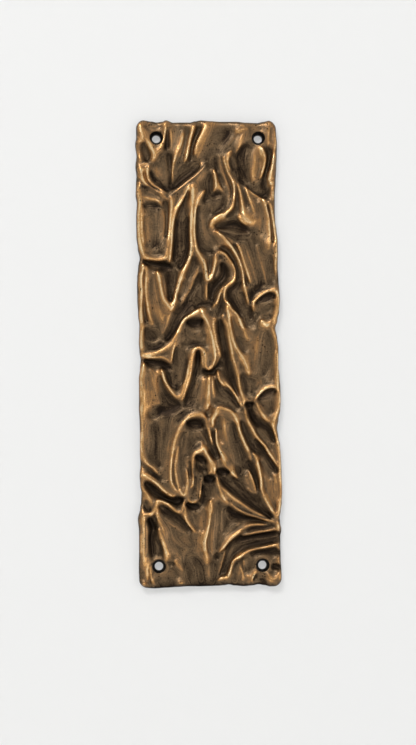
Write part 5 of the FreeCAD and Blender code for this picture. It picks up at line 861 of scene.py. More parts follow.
@dataclass(frozen=True)
class Folds:
    """The relief as a field: each fold line pulls the surface to its own height, most of all close by."""

    lines: Sequence[tuple[Level, Line]]
    patina_and_painted_light: Sequence[tuple[PaintedLightAndPatina, float, Line]]
    step: float = 0.8
    reach: float = 12.0
    radius: float = 0.45
    power: float = 1.25
    valley_pull: float = 2.0
    # Bells along the crests are rubbed metal with a painted highlight; along the creases, patination with
    # painted shade.
    core_width: float = 0.44
    halo_width: float = 1.2
    core_share: float = 0.82
    crease_width: float = 0.6
    taper: float = 3.5
    blunt: float = 0.3
    patch_reach: float = 3.0
    rows_at_once: int = 12

    def curve(self, points: Line) -> tuple[Array, Array]:
        """Cuts the smooth curve through the points (a Catmull-Rom spline) into short pieces.

        Args:
            points: Points (x, z) along the line.

        Returns:
            The middle of each piece, and its length.
        """
        p = np.array(points, float)
        run = np.vstack([2 * p[0] - p[1], p, 2 * p[-1] - p[-2]])
        span = np.linalg.norm(np.diff(p, axis=0), axis=1)
        count = np.maximum(np.ceil(span / self.step).astype(int), 2)
        which = np.repeat(np.arange(len(span)), count)
        start = np.repeat(np.cumsum(count) - count, count)
        t = ((np.arange(len(which)) - start + 0.5) / count[which])[:, None]
        a, b, c, d = (run[which + i] for i in range(4))
        slope = (c - a) / 2 + t * (a - 2.5 * b + 2 * c - d / 2 + t * (1.5 * (b - c) + (d - a) / 2))
        return b + t * slope, (span / count)[which]

    def pieces(self) -> tuple[Array, ...]:
        """Cuts all the lines into pieces.

        Returns:
            For each piece its place, its height, how strongly it pulls, how far it is rubbed bright with a
            painted highlight, and how dark a crease of patination and painted shade it keeps.
        """
        curves = [self.curve(points) for _, points in self.lines]
        count = [len(length) for _, length in curves]
        level = np.repeat([level.value for level, _ in self.lines], count)
        bright = np.repeat([CREST_RUB_AND_HIGHLIGHT.get(level, 0.0) for level, _ in self.lines], count)
        dark = np.repeat([CREASED.get(level, 0.0) for level, _ in self.lines], count)
        pull = np.where(level < SOFT.value, self.valley_pull, 1.0)
        place = np.vstack([place for place, _ in curves])
        length = np.concatenate([length for _, length in curves])
        fade = np.concatenate([self.ends(length) for _, length in curves])
        kept = (place, level, pull * length * fade, bright * fade, dark * fade)
        return tuple(values.astype(np.float32) for values in kept)

    def ends(self, length: Array) -> Array:
        """Weakens a line towards its two ends.

        Args:
            length: Length of each piece along the line.

        Returns:
            Share of its strength that each piece keeps.
        """
        run = np.cumsum(length) - length / 2
        from_end = np.minimum(run, length.sum() - run)
        return self.blunt + (1 - self.blunt) * smooth(from_end / self.taper)

    def over(self, x: Array, z: Array) -> tuple[Array, Array, Array]:
        """Height of the surface over a grid, how brightly its crests are rubbed, with a painted highlight,
        and how dark its creases are, with patination and painted shade.

        The height is the mean of the pieces' heights, weighted by
        pull (1 - d2/reach2)^2 / (d2 + radius2)^power for the squared distance d2. The crests' brightening is
        the strongest piece's, a narrow bell on a wide one, rubbed metal with a painted highlight, and so is
        the crease, a single bell of patination and painted shade.

        Args:
            x: Places across the plate, on a grid whose rows follow the length.
            z: Places along the plate, on the same grid.

        Returns:
            The heights, the crests' brightening (rubbed metal with a painted highlight) and the crease
            (patination with painted shade) from 0 to 1, on the same grid.
        """
        place, level, pull, bright, dark = self.pieces()
        height = np.empty(x.shape)
        rub_and_painted_light = np.empty(x.shape)
        crease = np.empty(x.shape)
        for first in range(0, x.shape[0], self.rows_at_once):
            part = slice(first, first + self.rows_at_once)
            px = x[part].ravel().astype(np.float32)
            pz = z[part].ravel().astype(np.float32)
            near = (place[:, 1] > pz.min() - self.reach) & (place[:, 1] < pz.max() + self.reach)
            d2 = (px[:, None] - place[near, 0]) ** 2 + (pz[:, None] - place[near, 1]) ** 2
            w = pull[near] * np.maximum(1 - d2 / self.reach**2, 0) ** 2
            w *= np.exp(-self.power * np.log(d2 + self.radius**2))
            height[part] = ((w @ level[near]) / w.sum(1)).reshape(x[part].shape)
            core = self.core_share * np.exp(-d2 / self.core_width**2)
            halo = (1 - self.core_share) * np.exp(-d2 / self.halo_width**2)
            rub_and_painted_light[part] = (bright[near] * (core + halo)).max(1).reshape(x[part].shape)
            fold = dark[near] * np.exp(-d2 / self.crease_width**2)
            crease[part] = fold.max(1).reshape(x[part].shape)
        return height, rub_and_painted_light, crease

    def patches(self, x: Array, z: Array) -> Array:
        """How much lighter or darker the patches make places on a grid: patination, painted highlights and
        painted shade.

        A patch is a bell across its curve, its tone shift times exp(-d2/half_width2).

        Args:
            x: Places across the plate on the grid.
            z: Places along the plate on the grid.

        Returns:
            The sum of the strongest lighter and the strongest darker patch at each place.
        """
        lighter = np.zeros(x.shape)
        darker = np.zeros(x.shape)
        for wear_and_painted_light, half_width, points in self.patina_and_painted_light:
            place, _ = self.curve(points)
            low = place[:, 1].min() - self.patch_reach * half_width
            high = place[:, 1].max() + self.patch_reach * half_width
            rows = np.flatnonzero((z.max(1) > low) & (z.min(1) < high))
            part = slice(rows[0], rows[-1] + 1)
            d2 = ((x[part][..., None] - place[:, 0]) ** 2 + (z[part][..., None] - place[:, 1]) ** 2).min(2)
            shift = wear_and_painted_light.value * np.exp(-d2 / half_width**2)
            lighter[part] = np.maximum(lighter[part], shift)
            darker[part] = np.minimum(darker[part], shift)
        return lighter + darker


@dataclass(frozen=True)
class Outline:
    """Wavy outline of the plate with its rounded corners."""

    width: float = 76.0
    length: float = 250.0
    corner: float = 4.0

    @staticmethod
    def wave(points: Line, at: Array) -> Array:
        """How far an edge stands out, eased from point to point of its wave.

        Args:
            points: Place along the edge and distance out, for each point of the wave.
            at: Places along the edge.

        Returns:
            The distance out at each place.
        """
        place, out = np.array(points, float).T
        i = np.clip(np.searchsorted(place, at) - 1, 0, len(place) - 2)
        return out[i] + (out[i + 1] - out[i]) * smooth((at - place[i]) / (place[i + 1] - place[i]))

    def lay(self, across: Array, up: Array) -> tuple[Array, Array, Array]:
        """Lays a flat grid into the outline.

        Each corner square turns into a quarter disc: with shares p and q of the way out to its two edges,
        a point goes to p sqrt(1 - q2/2), q sqrt(1 - p2/2). The waves then shift each point by its share of
        the way from edge to edge.

        Args:
            across: Places over the width, from 0.
            up: Places over the length, from 0.

        Returns:
            Places x and z on the plate, and the distance in from the edge.
        """
        side = np.sign(across - self.width / 2)
        end = np.sign(up - self.length / 2)
        a = np.minimum(across, self.width - across)
        b = np.minimum(up, self.length - up)
        p = np.clip(1 - a / self.corner, 0, 1)
        q = np.clip(1 - b / self.corner, 0, 1)
        a = a + self.corner * p * (1 - np.sqrt(1 - q * q / 2))
        b = b + self.corner * q * (1 - np.sqrt(1 - p * p / 2))
        round_inset = self.corner * (1 - np.sqrt(p * p + q * q - p * p * q * q))
        inset = np.where((p > 0) & (q > 0), round_inset, np.minimum(a, b))
        x = side * (self.width / 2 - a)
        z = end * (self.length / 2 - b)
        u = across / self.width
        v = up / self.length
        wave_x = u * self.wave(RIGHT, z) - (1 - u) * self.wave(LEFT, z)
        wave_z = v * self.wave(TOP, x) - (1 - v) * self.wave(BOTTOM, x)
        return x + wave_x, z + wave_z, inset


@dataclass(frozen=True)
class ScrewHole:
    """Countersunk hole for a wood screw, drilled through the casting."""

    x: float
    z: float
    bore: float
    mouth: float = 3.65
    sink_top: float = 4.1
    lip: float = 0.22
    # Shares of the lip: how far the wall turns in at the lip's foot and at the top of the cone, and how far
    # outside and above the bore the cone ends.
    lip_turn: float = 0.4
    sink_turn: float = 0.5
    throat_out: float = 0.1
    throat_up: float = 0.2
    seat: float = 4.5
    seat_width: float = 2.8
    ring: int = 8
    ring_out: int = 15

    def rings(self, x: Array, z: Array) -> tuple[Array, Array, Array]:
        """Steps of each grid point from the one nearest to the hole.

        Args:
            x: Places across the plate on the grid.
            z: Places along the plate on the grid.

        Returns:
            Steps over, steps up, and the number of the square ring that they lie on.
        """
        row, column = np.unravel_index(np.argmin((x - self.x) ** 2 + (z - self.z) ** 2), x.shape)
        up, over = np.mgrid[0 : x.shape[0], 0 : x.shape[1]]
        over = over - column
        up = up - row
        return over, up, np.maximum(abs(over), abs(up))

    def round_off(self, x: Array, z: Array) -> tuple[Array, Array]:
        """Bends the square rings of the grid around the hole into circles, fading out to the plain grid.

        A step along a ring becomes an even turn, arctan2(tan(pi/4 up/ring), tan(pi/4 over/ring)).

        Args:
            x: Places across the plate on the grid.
            z: Places along the plate on the grid.

        Returns:
            The bent places.
        """
        over, up, ring = self.rings(x, z)
        eighth = math.pi / 4 / np.maximum(ring, 1)
        turn = np.arctan2(np.tan(eighth * up), np.tan(eighth * over))
        radius = self.mouth * ring / self.ring
        plain = smooth((ring - self.ring) / (self.ring_out - self.ring))
        round_x = self.x + radius * np.cos(turn)
        round_z = self.z + radius * np.sin(turn)
        return round_x + (x - round_x) * plain, round_z + (z - round_z) * plain

    def raise_seat(self, x: Array, z: Array, height: Array) -> Array:
        """Lifts low metal beside the mouth to the height that the countersink needs.

        Args:
            x: Places across the plate on the grid.
            z: Places along the plate on the grid.
            height: Heights on the grid.

        Returns:
            The heights with the seat.
        """
        far = np.hypot(x - self.x, z - self.z) - self.mouth
        near = 1 - smooth(far / self.seat_width)
        return height + np.maximum(self.seat - height, 0) * near

    def loop(self, over: Array, up: Array) -> Array:
        """Grid points on the mouth's ring, in order, counter-clockwise from the front.

        Args:
            over: Steps over from the hole on the grid.
            up: Steps up from the hole on the grid.

        Returns:
            Their numbers on the grid, row by row.
        """
        run = np.arange(-self.ring, self.ring)
        edge = np.full_like(run, self.ring)
        ring_over = np.concatenate([edge, -run, -edge, run])
        ring_up = np.concatenate([run, edge, -run, -edge])
        row = np.flatnonzero(up[:, 0] == 0)[0]
        column = np.flatnonzero(over[0] == 0)[0]
        return (row + ring_up) * over.shape[1] + column + ring_over

    def profile(self, mouth_height: Array, last: float) -> list[tuple[float, Array]]:
        """Radius and height of each row of the hole's wall, from the rounded lip down to the back.

        Args:
            mouth_height: Heights of the front around the mouth.
            last: Height of the last row above the back.

        Returns:
            The rows, from the front to the back.
        """
        level = np.ones_like(mouth_height)
        sink_bottom = self.sink_top - (self.mouth - self.bore)
        return [
            (self.mouth - self.lip_turn * self.lip, mouth_height - self.lip),
            (self.mouth - self.sink_turn * self.lip, self.sink_top * level),
            (self.bore + self.throat_out * self.lip, (sink_bottom + self.throat_up * self.lip) * level),
            (self.bore, (sink_bottom - self.lip) * level),
            (self.bore, last * level),
            (self.bore, 0.0 * level),
        ]


class Mesher:
    """Gathers points, their attributes and faces from whole arrays."""

    def __init__(self) -> None:
        """Starts with nothing."""
        self.points: list[Array] = []
        self.quads: list[Array] = []
        self.triangles: list[Array] = []
        self.layers: dict[str, list[Array]] = {"rub_and_painted_light": [], "level": [], "hollow": []}
        self.count = 0

    def add_points(self, x: Array, y: Array, z: Array, rub_and_painted_light: Array, level: Array, hollow: Array) -> Array:
        """Adds points in millimetres.

        Args:
            x: Places across.
            y: Places from front to back.
            z: Places along.
            rub_and_painted_light: How far each point is rubbed bright, with painted highlights and shade,
                from 0 to 1.
            level: Height of the relief there.
            hollow: How deep it lies in a hollow, from 0 to 1, painted dark as patination with painted shade.

        Returns:
            The numbers of the new points.
        """
        x, y, z, rub_and_painted_light, level, hollow = np.broadcast_arrays(x, y, z, rub_and_painted_light, level, hollow)
        self.points.append(np.column_stack([x.ravel(), y.ravel(), z.ravel()]))
        for name, values in (("rub_and_painted_light", rub_and_painted_light), ("level", level), ("hollow", hollow)):
            self.layers[name].append(values.ravel())
        numbers = self.count + np.arange(x.size)
        self.count += x.size
        return numbers

    def add_band(self, first: Array, second: Array) -> None:
        """Joins two closed loops of equal count with four-sided faces."""
        onward = np.roll(first, -1)
        self.quads.append(np.column_stack([first, onward, np.roll(second, -1), second]))

    def make(self, name: str) -> bpy.types.Object:
        """Makes the object, leaving out the points that no face uses.

        Args:
            name: Name of the object and of its mesh.

        Returns:
            The object, linked to the scene and smooth apart from its flat back.
        """
        points = np.vstack(self.points)
        quads = np.vstack(self.quads)
        triangles = np.vstack(self.triangles)
        used = np.zeros(len(points), bool)
        used[quads] = True
        used[triangles] = True
        number = np.cumsum(used) - 1
        faces = number[quads].tolist() + number[triangles].tolist()
        mesh = bpy.data.meshes.new(name)
        mesh.from_pydata((points[used] * MM).tolist(), [], faces)
        for layer, parts in self.layers.items():
            values = np.concatenate(parts)[used].astype(np.float32)
            mesh.attributes.new(layer, "FLOAT", "POINT").data.foreach_set("value", values)
        flat = np.arange(len(faces)) >= len(quads)
        mesh.polygons.foreach_set("use_smooth", ~flat)
        ends = np.zeros(2 * len(mesh.edges), np.int32)
        mesh.edges.foreach_get("vertices", ends)
        on_back = np.abs(points[used][:, 1]) < FLAT
        sharp = on_back[ends.reshape(-1, 2)].all(1)
        mesh.attributes.new("sharp_edge", "BOOLEAN", "EDGE").data.foreach_set("value", sharp)
        mesh.update()
        mesh.validate()
        piece = bpy.data.objects.new(name, mesh)
        bpy.context.scene.collection.objects.link(piece)
        return piece


@dataclass(frozen=True)
class FingerPlate:
    """The casting: folded front, rounded edges, side walls, countersunk holes and flat back.

    The fold lines were read as if they lay in the plane of the rim, but the crests stand in front of it and
    were so read too high, the more the further up the plate. The relief is therefore looked up higher, by
    fold_lean for each millimetre above lean_from.
    """

    folds: Folds
    outline: Outline
    holes: Sequence[ScrewHole]
    fold_lean: float = 0.0045
    lean_from: float = -100.0
    edge_height: float = 2.6
    edge_share: float = 0.75
    edge_round: float = 2.4
    back_round: float = 0.3
    grid_step: float = 0.47
    edge_rows: Sequence[float] = (0.0, 0.1, 0.28, 0.55, 0.95)
    plain_rub: float = 0.43
    plain_height: float = 4.2
    rub_per_mm: float = 0.11
    around_cells: int = 3
    proud_rub: float = 0.06
    proud_height: float = 0.35
    # Along the crest lines the brightening is rubbed metal with a painted highlight.
    crest_rub_and_highlight: float = 0.54
    # Sunk places and creases are painted dark: patination with painted shade.
    sunk_hollow: float = 0.36
    sunk_depth: float = 0.5
    crease_hollow: float = 0.5
    # The front is darker over rim_width in from its edge.
    rim_darkening: float = 0.1
    rim_width: float = 1.5
    # The side walls are darker than the plain front.
    wall_rub: float = 0.2
    wall_hollow: float = 0.2
    # The hole's wall is painted darkest: patination with painted shade.
    hole_dark_patina_and_shade: float = 0.04
    back_rub: float = 0.30

    def front_height(self, height: Array, inset: Array) -> Array:
        """Brings the relief down to the side wall over the rounded edge, on a quarter of an ellipse.

        Args:
            height: Heights of the relief on the grid.
            inset: Distances in from the edge on the grid.

        Returns:
            The heights of the front.
        """
        wall = np.minimum(self.edge_height, self.edge_share * height)
        t = np.clip(inset / self.edge_round, 0, 1)
        return wall + (height - wall) * np.sqrt(1 - (1 - t) ** 2)

    def wear_and_painted_light(self, height: Array, line: Array, crease: Array) -> tuple[Array, Array]:
        """How far the front is rubbed bright, with painted highlights, and how much of it lies in hollows,
        painted dark.

        The brightening grows evenly with the height, a little more where a place stands above the mean of its
        surroundings, and most along the crest lines, as rubbed metal with a painted highlight. What lies
        below that mean, or in a crease, is a hollow, painted dark as patination with painted shade.

        Args:
            height: Heights on the grid.
            line: Rub of the crest lines on the grid, with its painted highlight.
            crease: Darkness of the creases on the grid, patination with painted shade.

        Returns:
            The brightening, with its painted highlight, and the hollow, patination with painted shade, each
            from 0 to 1.
        """
        near = height - spread(height, self.around_cells)
        proud = np.clip(near / self.proud_height, -1, 1)
        sunk = np.clip(-near / self.sunk_depth, 0, 1)
        rub_and_painted_light = self.plain_rub + self.rub_per_mm * (height - self.plain_height)
        rub_and_painted_light = rub_and_painted_light + self.proud_rub * proud + self.crest_rub_and_highlight * line
        hollow = self.sunk_hollow * sunk + self.crease_hollow * crease
        return np.clip(rub_and_painted_light, 0, 1), np.clip(hollow, 0, 1)

    def build(self) -> bpy.types.Object:
        """Builds the closed mesh of the plate.

        Returns:
            The object, in place.
        """
        mesher = Mesher()
        rows = stations(self.outline.length, self.edge_rows, self.grid_step)
        columns = stations(self.outline.width, self.edge_rows, self.grid_step)
        x, z, inset = self.outline.lay(*np.meshgrid(columns, rows))
        for hole in self.holes:
            x, z = hole.round_off(x, z)
        level, line, crease = self.folds.over(x, z + self.fold_lean * (z - self.lean_from))
        for hole in self.holes:
            level = hole.raise_seat(x, z, level)
        height = self.front_height(level, inset)
        rub_and_painted_light, hollow = self.wear_and_painted_light(height, line, crease)
        # The front is darker over rim_width in from its edge.
        rim = 1 - smooth(inset / self.rim_width)
        # The patches add patination, painted highlights and painted shade.
        rub_and_painted_light = np.clip(rub_and_painted_light + self.folds.patches(x, z) - self.rim_darkening * rim, 0, 1)
        grid = mesher.add_points(x, -height, z, rub_and_painted_light, level, hollow).reshape(x.shape)
        open_cell = np.zeros((len(rows) - 1, len(columns) - 1), bool)
        back_loops = [self.add_walls(mesher, x, z, height, grid)]
        for hole in self.holes:
            over, up, ring = hole.rings(x, z)
            inside = ring <= hole.ring
            open_cell |= inside[:-1, :-1] & inside[1:, 1:] & inside[1:, :-1] & inside[:-1, 1:]
            back_loops.append(self.add_hole(mesher, hole, hole.loop(over, up), x, z, height))
        corners = (grid[:-1, :-1], grid[:-1, 1:], grid[1:, 1:], grid[1:, :-1])
        mesher.quads.append(np.column_stack([c[~open_cell] for c in corners]))
        self.add_back(mesher, back_loops)
        return mesher.make("finger_plate_casting")

    def add_walls(self, mesher: Mesher, x: Array, z: Array, height: Array, grid: Array) -> Array:
        """Adds the side walls under the rim of the front grid, with a small rounding at the back.

        Args:
            mesher: Mesh to add to.
            x: Places across the plate on the grid.
            z: Places along the plate on the grid.
            height: Heights on the grid.
            grid: Numbers of the grid's points.

        Returns:
            Numbers of the points around the back, counter-clockwise from the front.
        """
        def rim(values: Array) -> Array:
            """Values along the rim, counter-clockwise from the front."""
            return np.concatenate([values[:-1, -1], values[-1, :0:-1], values[:0:-1, 0], values[0, :-1]])

        rim_x, rim_z = rim(x), rim(z)
        give_x = 1 - self.back_round / (self.outline.width / 2)
        give_z = 1 - self.back_round / (self.outline.length / 2)
        wall = (self.wall_rub, rim(height), self.wall_hollow)
        below = mesher.add_points(rim_x, -self.back_round, rim_z, *wall)
        behind = mesher.add_points(rim_x * give_x, 0.0, rim_z * give_z, self.back_rub, 0.0, 0.0)
        mesher.add_band(below, rim(grid))
        mesher.add_band(behind, below)
        return behind

    def add_hole(
        self, mesher: Mesher, hole: ScrewHole, loop: Array, x: Array, z: Array, height: Array
    ) -> Array:
        """Adds the wall of a hole, from its mouth in the front grid down to the back.

        Args:
            mesher: Mesh to add to.
            hole: The hole.
            loop: Numbers of the mouth's points on the grid.
            x: Places across the plate on the grid.
            z: Places along the plate on the grid.
            height: Heights on the grid.

        Returns:
            Numbers of the points around the hole at the back.
        """
        turn = np.arctan2(z.ravel()[loop] - hole.z, x.ravel()[loop] - hole.x)
        mouth_height = height.ravel()[loop]
        for radius, at in hole.profile(mouth_height, self.back_round):
            behind = np.all(at == 0)
            # The hole's wall is painted darkest, patination with painted shade; its last ring takes the
            # back's tone.
            rub_and_painted_light, hollow = (self.back_rub, 0.0) if behind else (self.hole_dark_patina_and_shade, 1.0)
            ring_x = hole.x + radius * np.cos(turn)
            ring_z = hole.z + radius * np.sin(turn)
            below = mesher.add_points(ring_x, -at, ring_z, rub_and_painted_light, at, hollow)
            mesher.add_band(loop, below)
            loop = below
        return loop

    def add_back(self, mesher: Mesher, loops: Sequence[Array]) -> None:
        """Closes the flat back between its outline and the holes with triangles, turned to face backwards.

        Args:
            mesher: Mesh to add to.
            loops: Numbers of the points around the back, then around each hole.
        """
        points = np.vstack(mesher.points)
        flat = [points[loop][:, [0, 2, 1]].tolist() for loop in loops]
        triangles = np.concatenate(loops)[np.array(tessellate_polygon(flat))]
        a, b, c = (points[triangles[:, i]] for i in range(3))
        towards_back = np.cross(b - a, c - a)[:, 1] > 0
        mesher.triangles.append(np.where(towards_back[:, None], triangles, triangles[:, ::-1]))


def linear(hex_colour: str) -> tuple[float, float, float, float]:
    """Turns an sRGB colour into linear values.

    Args:
        hex_colour: The colour as #RRGGBB.

    Returns:
        Linear red, green and blue, and a full alpha.
    """
    share = [int(hex_colour[i : i + 2], 16) / 255 for i in (1, 3, 5)]
    red, green, blue = (s / 12.92 if s <= 0.04045 else ((s + 0.055) / 1.055) ** 2.4 for s in share)
    return red, green, blue, 1.0


def add_node(
    tree: bpy.types.NodeTree, kind: str, inputs: Optional[dict] = None, **settings: Any
) -> bpy.types.Node:
    """Adds a node to a tree.

    Args:
        tree: Tree to add to.
        kind: Type of the node.
        inputs: Values or sockets for its inputs, by their name or number.
        settings: Properties of the node.

    Returns:
        The node.
    """
    node = tree.nodes.new(kind)
    for name, value in settings.items():
        setattr(node, name, value)
    for key, value in (inputs or {}).items():
        if isinstance(value, bpy.types.NodeSocket):
            tree.links.new(value, node.inputs[key])
        else:
            node.inputs[key].default_value = value
    return node


def new_material(name: str) -> bpy.types.Material:
    """Makes a node material.

    Args:
        name: Name of the material.

    Returns:
        The material, with no node in it.
    """
    material = bpy.data.materials.new(name)
    material.use_nodes = True
    material.node_tree.nodes.clear()
    return material


def per_metre(size_mm: float) -> float:
    """Scale of a noise pattern whose blotches are about this size, on coordinates in metres."""
    return 1.0 / (size_mm * MM)


@dataclass(frozen=True)
class RubbedBronzeWithPaintedLight:
    """Cast bronze under a dark brown patination, rubbed back to bright metal along the crests.

    The patination is a thin oxide, so the metal's gloss shows through it, dull on the planes and sharp on the
    crests. Casting leaves pinholes and a fine grain, and the rubbing leaves streaks along the folds. A real
    grain and most real pinholes are finer than 0.5 mm and are drawn coarser here, so that they show. Painted
    highlights lie along the crests, and painted shade darkens the patination in hollows, creases, pinholes
    and the holes.
    """

    name: str = "rubbed_bronze_with_painted_light"
    # Tones from dark patination to bright metal; the palest end is a painted highlight on the crests.
    ramp: Sequence[tuple[float, str]] = (
        (0.00, "#0F0A06"),
        (0.22, "#2B1F14"),
        (0.42, "#64513B"),
        (0.56, "#836647"),
        (0.70, "#A77C4F"),
        (0.86, "#D7A264"),
        (1.00, "#FBDBA7"),
    )
    # Dark patination with painted shade, for hollows, creases, hole walls and pinholes.
    hollow_colour: str = "#1C140B"
    metallic: float = 0.9
    dull_tone: float = 0.35
    dull: float = 0.42
    gloss: float = 0.28
    plain_tone: float = 0.44
    noise_middle: float = 0.5
    even_mottle: tuple[float, float] = (0.3, 0.7)
    uneven_rub: tuple[float, float] = (0.86, 1.14)
    mottle_mm: float = 9.0
    mottle_detail: float = 3.0
    mottle_tone: float = 0.16
    blotch_mm: float = 2.6
    blotch_detail: float = 4.0
    blotch_tone: float = 0.14
    grain_mm: float = 0.75
    grain_detail: float = 2.0
    grain_tone: float = 0.30
    grain_depth_mm: float = 0.05
    streak_rise_mm: float = 0.08
    streak_length_mm: float = 11.0
    streak_detail: float = 2.0
    streak_tone: float = 0.56
    streak_depth_mm: float = 0.08
    pit_mm: float = 1.25
    pit_chance: tuple[float, float] = (0.18, 0.60)
    pit_share: float = 0.40
    pit_edge: float = 0.12
    pit_dark: float = 0.85
    pit_depth_mm: float = 0.25

    def material(self) -> bpy.types.Material:
        """Makes the material.

        Returns:
            A material that reads the piece's own attributes: the rubbed brightness with its painted light,
            the level, and the hollow, patination with painted shade.
        """
        material = new_material(self.name)
        tree = material.node_tree
        place = add_node(tree, "ShaderNodeTexCoord").outputs["Object"]
        rub_and_painted_light, level, hollow = (
            add_node(tree, "ShaderNodeAttribute", attribute_name=name).outputs["Fac"]
            for name in ("rub_and_painted_light", "level", "hollow")
        )
        mottle = self.noise(tree, place, self.mottle_mm, self.mottle_detail)
        blotch = self.noise(tree, place, self.blotch_mm, self.blotch_detail)
        grain = self.noise(tree, place, self.grain_mm, self.grain_detail)
        streak = self.streaks(tree, place, level)
        pit = self.pits(tree, place, mottle)
        tone = self.unevenness(tree, rub_and_painted_light, mottle)
        patterns = (
            (mottle, self.mottle_tone),
            (blotch, self.blotch_tone),
            (grain, self.grain_tone),
            (streak, self.streak_tone),
        )
        for pattern, strength in patterns:
            inputs = {0: pattern, 1: self.noise_middle}
            shift = add_node(tree, "ShaderNodeMath", inputs, operation="SUBTRACT").outputs[0]
            tone = add_node(
                tree, "ShaderNodeMath", {0: shift, 1: strength, 2: tone}, operation="MULTIPLY_ADD"
            ).outputs[0]
        ramp = add_node(tree, "ShaderNodeValToRGB", {"Fac": tone})
        elements = ramp.color_ramp.elements
        for _ in range(len(self.ramp) - len(elements)):
            elements.new(0.5)
        for element, (position, colour) in zip(elements, self.ramp):
            element.position = position
            element.color = linear(colour)
        # Hollows, creases, hole walls and pinholes are painted dark: patination with painted shade.
        dark = add_node(tree, "ShaderNodeMath", {0: hollow, 1: pit}, operation="MAXIMUM").outputs[0]
        colour = add_node(
            tree,
            "ShaderNodeMix",
            {"Factor": dark, "A": ramp.outputs["Color"], "B": linear(self.hollow_colour)},
            data_type="RGBA",
        )
        roughness = add_node(
            tree,
            "ShaderNodeMapRange",
            {"Value": tone, "From Min": self.dull_tone, "To Min": self.dull, "To Max": self.gloss},
        )
        shader = add_node(
            tree,
            "ShaderNodeBsdfPrincipled",
            {
                "Base Color": colour.outputs["Result"],
                "Metallic": self.metallic,
                "Roughness": roughness.outputs["Result"],
                "Normal": self.bump(tree, pit, grain, streak),
            },
        )
        add_node(tree, "ShaderNodeOutputMaterial", {"Surface": shader.outputs["BSDF"]})
        return material

    @staticmethod
    def noise(
        tree: bpy.types.NodeTree, place: bpy.types.NodeSocket, size_mm: float, detail: float
    ) -> bpy.types.NodeSocket:
        """Blotches of about one size, as a value around one half."""
        inputs = {"Vector": place, "Scale": per_metre(size_mm), "Detail": detail}
        return add_node(tree, "ShaderNodeTexNoise", inputs).outputs["Fac"]

    def unevenness(
        self, tree: bpy.types.NodeTree, rub_and_painted_light: bpy.types.NodeSocket, mottle: bpy.types.NodeSocket
    ) -> bpy.types.NodeSocket:
        """Tone of the rubbed metal with its painted light, which stands out from the plain tone more in some
        places than in others.

        Args:
            tree: Tree to add to.
            rub_and_painted_light: How far the metal is rubbed bright, with painted highlights and painted
                shade.
            mottle: Large soft blotches.

        Returns:
            The tone.
        """
        uneven = add_node(
            tree,
            "ShaderNodeMapRange",
            {
                "Value": mottle,
                "From Min": self.even_mottle[0],
                "From Max": self.even_mottle[1],
                "To Min": self.uneven_rub[0],
                "To Max": self.uneven_rub[1],
            },
        ).outputs["Result"]
        inputs = {0: rub_and_painted_light, 1: self.plain_tone}
        above = add_node(tree, "ShaderNodeMath", inputs, operation="SUBTRACT").outputs[0]
        inputs = {0: above, 1: uneven, 2: self.plain_tone}
        return add_node(tree, "ShaderNodeMath", inputs, operation="MULTIPLY_ADD").outputs[0]

    def streaks(
        self, tree: bpy.types.NodeTree, place: bpy.types.NodeSocket, level: bpy.types.NodeSocket
    ) -> bpy.types.NodeSocket:
        """Fine streaks along the folds: noise drawn out along the lines of equal height.

        Args:
            tree: Tree to add to.
            place: Object coordinates.
            level: Height of the relief in millimetres.

        Returns:
            The streaks, as a value around one half.
        """
        long = add_node(
            tree,
            "ShaderNodeVectorMath",
            {0: place, "Scale": per_metre(self.streak_length_mm)},
            operation="SCALE",
        ).outputs[0]
        split = add_node(tree, "ShaderNodeSeparateXYZ", {0: long}).outputs
        across = add_node(
            tree, "ShaderNodeMath", {0: level, 1: 1 / self.streak_rise_mm}, operation="MULTIPLY"
        ).outputs[0]
        flow = add_node(tree, "ShaderNodeCombineXYZ", {0: across, 1: split[0], 2: split[2]}).outputs[0]
        inputs = {"Vector": flow, "Scale": 1.0, "Detail": self.streak_detail}
        return add_node(tree, "ShaderNodeTexNoise", inputs).outputs["Fac"]

    def pits(
        self, tree: bpy.types.NodeTree, place: bpy.types.NodeSocket, mottle: bpy.types.NodeSocket
    ) -> bpy.types.NodeSocket:
        """Pinholes of the casting, drawn up to 1 mm wide so that they show.

        Each cell of the pattern has a pit of its own size, and where the mottle is low many have none.

        Args:
            tree: Tree to add to.
            place: Object coordinates.
            mottle: Large soft blotches.

        Returns:
            The pits, as pit_dark inside one and 0 outside.
        """
        cells = add_node(tree, "ShaderNodeTexVoronoi", {"Vector": place, "Scale": per_metre(self.pit_mm)})
        chance = add_node(tree, "ShaderNodeSeparateColor", {"Color": cells.outputs["Color"]}).outputs[0]
        dense = add_node(tree, "ShaderNodeMath", {0: chance, 1: mottle}, operation="MULTIPLY").outputs[0]
        size = add_node(
            tree,
            "ShaderNodeMapRange",
            {
                "Value": dense,
                "From Min": self.pit_chance[0],
                "From Max": self.pit_chance[1],
                "To Max": self.pit_share,
            },
        ).outputs["Result"]
        inside = add_node(
            tree, "ShaderNodeMath", {0: size, 1: cells.outputs["Distance"]}, operation="SUBTRACT"
        ).outputs[0]
        return add_node(
            tree,
            "ShaderNodeMapRange",
            {"Value": inside, "From Max": self.pit_edge, "To Max": self.pit_dark},
        ).outputs["Result"]

